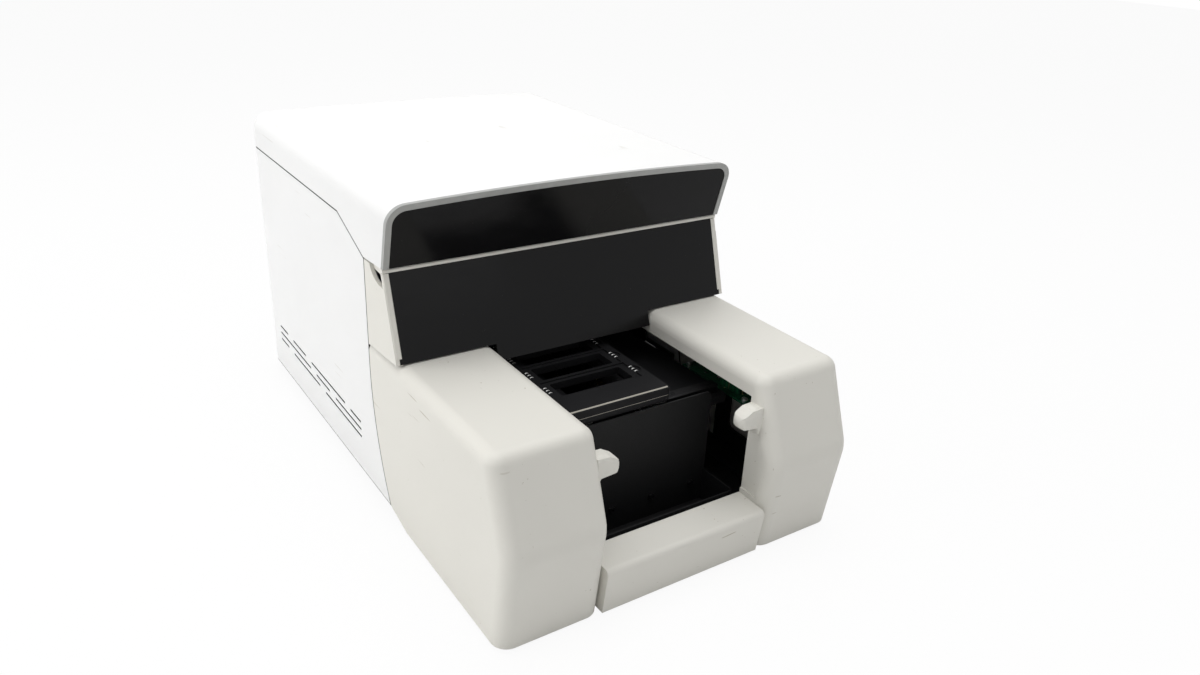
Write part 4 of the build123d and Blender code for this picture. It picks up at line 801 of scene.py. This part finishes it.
# %% [markdown]
# ## The lead screws
# Each motor turns a steel rod whose thread pushes a nut. In the CAD pack the rods
# are smooth cylinders of the thread's outer radius. A thread is a rule: the radius
# dips by a share that depends on the angle round the rod and on the way along it. So
# one tree moves the points of a finely divided cylinder inwards by that rule, and
# the threaded rods replace the smooth ones.

# %% Threaded rods
thread = Pattern("thread", radius=0.004, length=0.1, groove=0.0004, lead=0.01, starts=2,
                 rings=100, sides=24, turn=(0.0, 0.0, 0.0), middle=(0.0, 0.0, 0.0))
blank = thread.node("GeometryNodeMeshCylinder", {"fill_type": "NGON"},
                    {"Vertices": thread.size("sides"), "Side Segments": thread.size("rings"),
                     "Radius": thread.size("radius"), "Depth": thread.size("length")})
point = thread.node("GeometryNodeInputPosition").outputs[0]
across, up, along = thread.split(point)
angle = up.maths("ARCTAN2", up, across)
phase = (angle - 2 * pi * along / thread.size("lead")) * thread.size("starts")
dip = 0.5 - 0.5 * phase.maths("COSINE")
keep = 1.0 - dip * thread.size("groove") / thread.size("radius")
cut = thread.node("GeometryNodeSetPosition", {},
                  {"Geometry": blank.outputs[0],
                   "Position": thread.vector(across * keep, up * keep, along)})
laid = thread.node("GeometryNodeTransform", {},
                   {"Geometry": cut.outputs[0], "Rotation": thread.size("turn"),
                    "Translation": thread.size("middle")})
thread.end(laid.outputs[0])

rings_per_metre = 1500
lying = {"y_screw": (pi / 2, 0.0, 0.0), "x_screw": (0.0, pi / 2, 0.0),
         "focus_screw": (0.0, 0.0, 0.0)}
for node, turn in lying.items():
    low, high = box_of(node)
    width, _, length = sorted(high - low)
    rod = thread.make(node + "_threaded", [(0, 0, 0)], node, radius=width / 2,
                      length=length, rings=int(length * rings_per_metre), turn=turn,
                      middle=tuple((low + high) / 2), finish=bright_steel)
    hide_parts(node)

# %% [markdown]
# ## Cap screws
# Motors, boards and bearings are held by cap screws. One screw is a low cylinder
# from which a six-sided prism is cut, and a copy of it stands on every point. Screws
# on plates that slide past each other have to be lower than the gap, so their
# height is an input.

# %% Cap screws
screw = Pattern("cap_screw", radius=0.0025, height=0.002, socket=0.0013,
                turn=(0.0, 0.0, 0.0), sides=24)
head = screw.node("GeometryNodeMeshCylinder", {"fill_type": "NGON"},
                  {"Vertices": screw.size("sides"), "Radius": screw.size("radius"),
                   "Depth": screw.size("height")})
key = screw.node("GeometryNodeMeshCylinder", {"fill_type": "NGON"},
                 {"Vertices": 6, "Radius": screw.size("socket"), "Depth": screw.size("height")})
key_place = screw.node("GeometryNodeTransform", {},
                       {"Geometry": key.outputs[0],
                        "Translation": screw.vector(z=screw.size("height") * 0.4)})
head_cut = screw.node("GeometryNodeMeshBoolean", {"operation": "DIFFERENCE"})
screw.tree.links.new(head.outputs[0], head_cut.inputs["Mesh 1"])
screw.tree.links.new(key_place.outputs[0], head_cut.inputs["Mesh 2"])
seated = screw.node("GeometryNodeTransform", {},
                    {"Geometry": head_cut.outputs[0],
                     "Translation": screw.vector(z=screw.size("height") * 0.5)})
copies = screw.node("GeometryNodeInstanceOnPoints", {},
                    {"Points": screw.given.outputs[places_in], "Instance": seated.outputs[0],
                     "Rotation": screw.size("turn")})
screw.end(copies.outputs[0])

facing_front, facing_rear = (pi / 2, 0.0, 0.0), (-pi / 2, 0.0, 0.0)
facing_left = (0.0, -pi / 2, 0.0)


def corners(node, inset, axis, side):
    """Four places near the corners of a node's face, on the low or high side of an axis."""
    low, high = box_of(node)
    a, b = [other for other in range(3) if other != axis]
    places = []
    for first in (low[a] + inset, high[a] - inset):
        for second in (low[b] + inset, high[b] - inset):
            place = Vector((0, 0, 0))
            place[a], place[b], place[axis] = first, second, (low, high)[side][axis]
            places.append(place)
    return places


board_thickness = 1.6 * mm
for node, inset in (("main_board", 4 * mm), ("arm_board", 4 * mm)):
    places = [place + Vector((0, 0, board_thickness)) for place in corners(node, inset, 2, 0)]
    screw.make(node + "_screws", places, "chassis", finish=bright_steel)
screw.make("fan_screws", corners("fan_frame", 4.5 * mm, 1, 0), "chassis", turn=facing_front,
           finish=bright_steel)
screw.make("y_motor_screws", corners("y_motor", 5.5 * mm, 1, 1), "chassis", turn=facing_rear,
           radius=0.0022, height=0.0015, finish=bright_steel)
screw.make("x_motor_screws", corners("x_motor", 4 * mm, 0, 0), "stage_y", turn=facing_left,
           radius=0.0018, height=0.0012, socket=0.0009, finish=bright_steel)
screw.make("supply_screws", corners("power_supply", 8 * mm, 2, 1), "chassis",
           height=0.0012, finish=bright_steel)
screw.make("camera_screws", corners("camera", 5 * mm, 2, 1), "chassis", radius=0.0018,
           height=0.0014, socket=0.0009, finish=bright_steel)


def rail_places(node, axis, rail_width, pitch, end):
    """Places along the middle of both rails of a node, on their tops."""
    low, high = box_of(node)
    across_axis = 1 - axis
    rail_half = rail_width / 2
    count = int((high[axis] - low[axis] - 2 * end) / pitch) + 1
    first = (low[axis] + high[axis] - (count - 1) * pitch) / 2
    places = []
    for across_place in (low[across_axis] + rail_half, high[across_axis] - rail_half):
        for index in range(count):
            place = Vector((0, 0, high[2]))
            place[axis], place[across_axis] = first + index * pitch, across_place
            places.append(place)
    return places


flush = 0.12 * mm
screw.make("y_rail_screws", rail_places("y_rails", 1, 12 * mm, 40 * mm, 12 * mm), "chassis",
           height=flush, finish=black_anodised)
screw.make("x_rail_screws", rail_places("x_rails", 0, 10 * mm, 30 * mm, 10 * mm), "stage_y",
           height=flush, radius=0.0022, finish=black_anodised)

# %% [markdown]
# ## Springs on the slide tray
# At both ends of each slide's place, three small bent springs hold the glass. A
# spring is a low arch of thin strip: a bezier curve with a flat profile swept along
# it. Three of them stand beside each other at every place.

# %% Slide springs
spring = Pattern("slide_spring", long=0.003, width=0.0011, thick=0.00018, rise=0.0005,
                 pitch=0.004)
half_long = spring.size("long") * 0.5
arch = spring.node("GeometryNodeCurveQuadraticBezier", {},
                   {"Resolution": 6, "Start": spring.vector(0 - half_long),
                    "Middle": spring.vector(0.0, 0.0, spring.size("rise") * 2),
                    "End": spring.vector(half_long)})
strip = spring.node("GeometryNodeCurvePrimitiveQuadrilateral", {},
                    {"Width": spring.size("width"), "Height": spring.size("thick")})
swept = spring.node("GeometryNodeCurveToMesh", {}, {0: arch.outputs[0], 1: strip.outputs[0]})
swept.inputs["Fill Caps"].default_value = True
row = spring.node("GeometryNodeMeshLine", {},
                  {"Count": 3, "Start Location": spring.vector(0.0, 0 - spring.size("pitch")),
                   "Offset": spring.vector(0.0, spring.size("pitch"))})
three = spring.node("GeometryNodeInstanceOnPoints", {},
                    {"Points": row.outputs[0], "Instance": swept.outputs[0]})
sets = spring.node("GeometryNodeInstanceOnPoints", {},
                   {"Points": spring.given.outputs[places_in], "Instance": three.outputs[0]})
spring.end(sets.outputs[0])

slide_count, slide_pitch, slide_length, end_gap = 5, 28 * mm, 76 * mm, 0.9 * mm
first_slide = 37.5 * mm             # from the tray's front edge to the first slide's middle
tray_low, tray_high = box_of("slide_tray")
tray_middle = (tray_low.x + tray_high.x) / 2
places = [(tray_middle + side * (slide_length / 2 + end_gap),
           tray_low.y + first_slide + slide_pitch * index, tray_high.z + 0.05 * mm)
          for index in range(slide_count) for side in (-1, 1)]
spring.make("slide_springs", places, "stage_x", finish=bright_steel)

# %% [markdown]
# ## Small parts on the boards
# A board holds dozens of small parts, in no order that matters to the eye. Points
# are scattered over the free part of each board with a fixed seed, none nearer than
# a set distance, and each gets a small block, turned by quarter turns.

# %% Board parts
scatter = Pattern("board_parts", spacing=0.005, seed=7, least=(0.0012, 0.0008, 0.0006),
                  most=(0.0036, 0.0022, 0.0016))
spots = scatter.node("GeometryNodeDistributePointsOnFaces", {"distribute_method": "POISSON"},
                     {"Mesh": scatter.given.outputs[places_in],
                      "Distance Min": scatter.size("spacing"), "Density Max": 60000.0,
                      "Seed": scatter.size("seed")})
block = scatter.node("GeometryNodeMeshCube", {}, {"Size": (1.0, 1.0, 1.0)})
standing = scatter.node("GeometryNodeTransform", {},
                        {"Geometry": block.outputs[0], "Translation": (0.0, 0.0, 0.5)})
sizes = scatter.node("FunctionNodeRandomValue", {"data_type": "FLOAT_VECTOR"},
                     {0: scatter.size("least"), 1: scatter.size("most"),
                      "Seed": scatter.size("seed")})
quarter = scatter.node("FunctionNodeRandomValue", {"data_type": "INT"}, {4: 0, 5: 1, "Seed": 3})
placed = scatter.node("GeometryNodeInstanceOnPoints", {},
                      {"Points": spots.outputs[0], "Instance": standing.outputs[0],
                       "Rotation": scatter.vector(z=Value(scatter, quarter.outputs[2]) * pi / 2),
                       "Scale": sizes.outputs[0]})
scatter.end(placed.outputs[0])


def board_face(node, border):
    """The corners of a board's top, less a border, as one face."""
    low, high = box_of(node)
    inset = Vector((border, border, 0))
    low, high = low + inset, high - inset
    z = low.z + board_thickness
    return [(low.x, low.y, z), (high.x, low.y, z), (high.x, high.y, z), (low.x, high.y, z)]


part_black = plain_moulding("board_part", (0.03, 0.028, 0.026), 0.4, 2000.0, 0.00002)
for node, seed in (("main_board", 5), ("arm_board", 11)):
    scatter.make(node + "_parts", board_face(node, 7 * mm), "chassis", faces=[(0, 1, 2, 3)],
                 seed=seed, finish=part_black)

# %% [markdown]
# ## The rings on the objectives
# A ring of paint round each objective tells its power: yellow, green, blue and
# white are the usual colours for a growing power. Each ring is a short tube with a
# rounded edge, just outside the barrel, and rides on the turret.

# %% Objective rings
ring_colours = {"yellow": (0.75, 0.5, 0.03), "green": (0.05, 0.32, 0.08),
                "blue": (0.04, 0.14, 0.5), "white": (0.75, 0.75, 0.72)}
ring_sides = 48
barrel_radius, ring_height = 12 * mm, 2.4 * mm
objective_low, objective_high = box_of("objectives")
turret_middle = (objective_low + objective_high) / 2
objective_reach = (objective_high.x - objective_low.x) / 2 - barrel_radius
ring_z = objective_high.z - 21 * mm
ring_outline = [(-0.3, -0.5), (0.12, -0.5), (0.2, -0.42), (0.2, 0.42), (0.12, 0.5), (-0.3, 0.5)]


def ring(name, middle, finish):
    """A short tube round an upright middle line, its outline turned in a full circle."""
    points, count = [], len(ring_outline)
    for turn in range(ring_sides):
        angle = 2 * pi * turn / ring_sides
        for out, height in ring_outline:
            radius = barrel_radius + out * mm
            points.append(middle + Vector((radius * cos(angle), radius * sin(angle),
                                           height * ring_height)))
    faces = [tuple(at % len(points) for at in face)
             for face in tube_faces(ring_sides + 1, count, closed_ends=False)]
    piece_from(name, points, faces, finish, "turret")


for index, (name, colour) in enumerate(ring_colours.items()):
    angle = 2 * pi * index / len(ring_colours) - pi / 2
    middle = Vector((turret_middle.x + objective_reach * cos(angle),
                     turret_middle.y + objective_reach * sin(angle), ring_z))
    ring("objective_ring_" + name, middle, plain_moulding("ring_" + name, colour, 0.3, 1500.0,
                                                          0.00002))
print("rings:", list(ring_colours))

# %% [markdown]
# ## Marks on the power rocker
# A power switch is marked with a bar for on and a ring for off. Both are flat bands
# between two outlines, and the bar's inner one is a thin slot in its middle. They
# are laid on the rocker's tilted face: each point is moved straight towards the
# rocker until it meets it.

# %% Rocker marks
rocker = surface_of("power_rocker")
rocker_low, rocker_high = box_of("power_rocker")
rocker_middle = (rocker_low + rocker_high) / 2
mark_lift, mark_width = 0.06 * mm, 0.5 * mm
mark_paint = plain_moulding("mark_paint", (0.7, 0.7, 0.7), 0.5, 1500.0, 0.00001)


def mark(name, outer, inner):
    """A flat band between two closed outlines of as many points, laid on the rocker."""
    points = []
    for x, z in outer + inner:
        start = Vector((rocker_middle.x + x, rocker_high.y + 5 * mm, rocker_middle.z + z))
        hit = rocker.ray_cast(start, Vector((0, -1, 0)))[0]
        points.append(hit + Vector((0, mark_lift, 0)))
    count = len(outer)
    faces = [(i, count + i, count + (i + 1) % count, (i + 1) % count) for i in range(count)]
    piece_from(name, points, faces, mark_paint, "power_rocker", closed=False)


mark_z, mark_half, circle_points = 4.3 * mm, 1.4 * mm, 32


def circle(radius):
    """The off mark's outline, a circle below the rocker's middle."""
    angles = [2 * pi * index / circle_points for index in range(circle_points)]
    return [(radius * cos(angle), radius * sin(angle) - mark_z) for angle in angles]


def bar(half_width, half_height):
    """The on mark's outline, a rectangle above the rocker's middle."""
    return [(x * half_width, z * half_height + mark_z)
            for x, z in ((-1, -1), (1, -1), (1, 1), (-1, 1))]


mark("off_mark", circle(mark_half), circle(mark_half - mark_width))
mark("on_mark", bar(mark_width / 2, mark_half), bar(mark_width / 8, mark_half / 2))
print("rocker marked")

# %% [markdown]
# ## Ribs under the hood
# A moulded hood this wide is stiffened by thin ribs inside. They show when it is
# open. A rib follows the crowned roof at an even height, so its points are found by
# rays that go up to the hood's inner face.

# %% Hood ribs
hood = surface_of("hood_shell")
hood_low, hood_high = box_of("hood_shell")
rib_thickness, rib_height, rib_steps, rib_bite = 1.6 * mm, 6 * mm, 24, 0.3 * mm


def rib(name, y):
    """A thin wall across the hood, under its roof."""
    points = []
    for step in range(rib_steps + 1):
        x = rib_half * (2 * step / rib_steps - 1)
        roof = hood.ray_cast(Vector((x, y, ray_start_z)), Vector((0, 0, 1)))[0].z
        front, rear = y - rib_thickness / 2, y + rib_thickness / 2
        points += [(x, front, roof - rib_height), (x, rear, roof - rib_height),
                   (x, rear, roof + rib_bite), (x, front, roof + rib_bite)]
    piece_from(name, points, tube_faces(rib_steps + 1, 4), white_cover, "hood")


ray_start_z, rib_half = hood_high.z - 22 * mm, 118 * mm
rib_rows = [hood_low.y + share * (hood_high.y - hood_low.y) for share in (0.2, 0.76, 0.92)]
for number, y in enumerate(rib_rows, 1):
    rib("hood_rib_%d" % number, y)
print("ribs:", len(rib_rows))

# %% [markdown]
# ## The studio
# A plain pale floor and a plain pale surround. The floor is nearly white to the
# camera, and still darkens a little where the machine shades it. Three soft lamps
# stand in for a light tent: one overhead, one large one from the left and behind,
# and a weak one in front.

# %% Floor and surround
floor_half = 6.0
floor_shown = 0.93                  # how white the floor is to the camera
ambient = 0.4                       # how strongly the surround lights the machine
floor_mesh = bpy.data.meshes.new("studio_floor")
floor_mesh.from_pydata([(x * floor_half, y * floor_half, 0.0)
                        for x, y in ((-1, -1), (1, -1), (1, 1), (-1, 1))], [], [(0, 1, 2, 3)])
studio_floor = link_object("studio_floor", floor_mesh)
floor_finish = Finish("studio_floor", Base_Color=(0.9, 0.9, 0.9), Roughness=0.6,
                      Specular_IOR_Level=0.1)
seen = floor_finish.node("ShaderNodeLightPath")
glow = floor_finish.node("ShaderNodeEmission", {}, {"Color": (1.0, 1.0, 1.0), "Strength": 1.0})
share = Value(floor_finish, seen.outputs["Is Camera Ray"]) * floor_shown
mixed = floor_finish.node("ShaderNodeMixShader", {}, {0: share,
                                                      1: floor_finish.shader.outputs[0],
                                                      2: glow.outputs[0]})
floor_finish.tree.links.new(mixed.outputs[0], floor_finish.out.inputs["Surface"])
floor_mesh.materials.append(floor_finish.material)


class Surround(Graph):
    """The world's graph."""

    def __init__(self, name):
        self.world = bpy.data.worlds.new(name)
        self.world.use_nodes = True
        self.tree = self.world.node_tree
        self.tree.nodes.clear()


surround = Surround("studio_surround")
bpy.context.scene.world = surround.world
ray = surround.node("ShaderNodeLightPath").outputs
glossy_ray = Value(surround, ray["Is Glossy Ray"])
clear_ray = glossy_ray.most(ray["Is Transmission Ray"]).most(ray["Is Camera Ray"])
sky = surround.node("ShaderNodeBackground", {},
                    {"Color": (1.0, 1.0, 1.0), "Strength": ambient + (1.0 - ambient) * clear_ray})
surround.node("ShaderNodeOutputWorld", {}, {"Surface": sky.outputs[0]})
print("floor and surround ready")

# %% Lamps


def soft_lamp(name, place, size, watts):
    """A rectangular lamp that looks at the machine."""
    light = bpy.data.lights.new(name, "AREA")
    light.shape = "RECTANGLE"
    light.size, light.size_y = size
    light.energy = watts
    lamp = link_object(name, light)
    lamp.location = place
    lamp.rotation_euler = (lit_place - Vector(place)).to_track_quat("-Z", "Y").to_euler()
    return lamp


lit_place = Vector((0.0, 0.0, 0.13))
lamps = [soft_lamp("lamp_overhead", (0.1, 0.1, 1.7), (1.6, 1.6), 19.0),
         soft_lamp("lamp_left", (-1.7, 0.5, 0.9), (1.4, 1.2), 15.0),
         soft_lamp("lamp_front", (0.3, -2.0, 0.9), (1.2, 0.8), 1.0)]
print("lamps:", [lamp.name for lamp in lamps])

# %% [markdown]
# ## The end
# The view transform is set to standard, so that colours render as written.

# %% Finish
bpy.context.scene.view_settings.view_transform = "Standard"
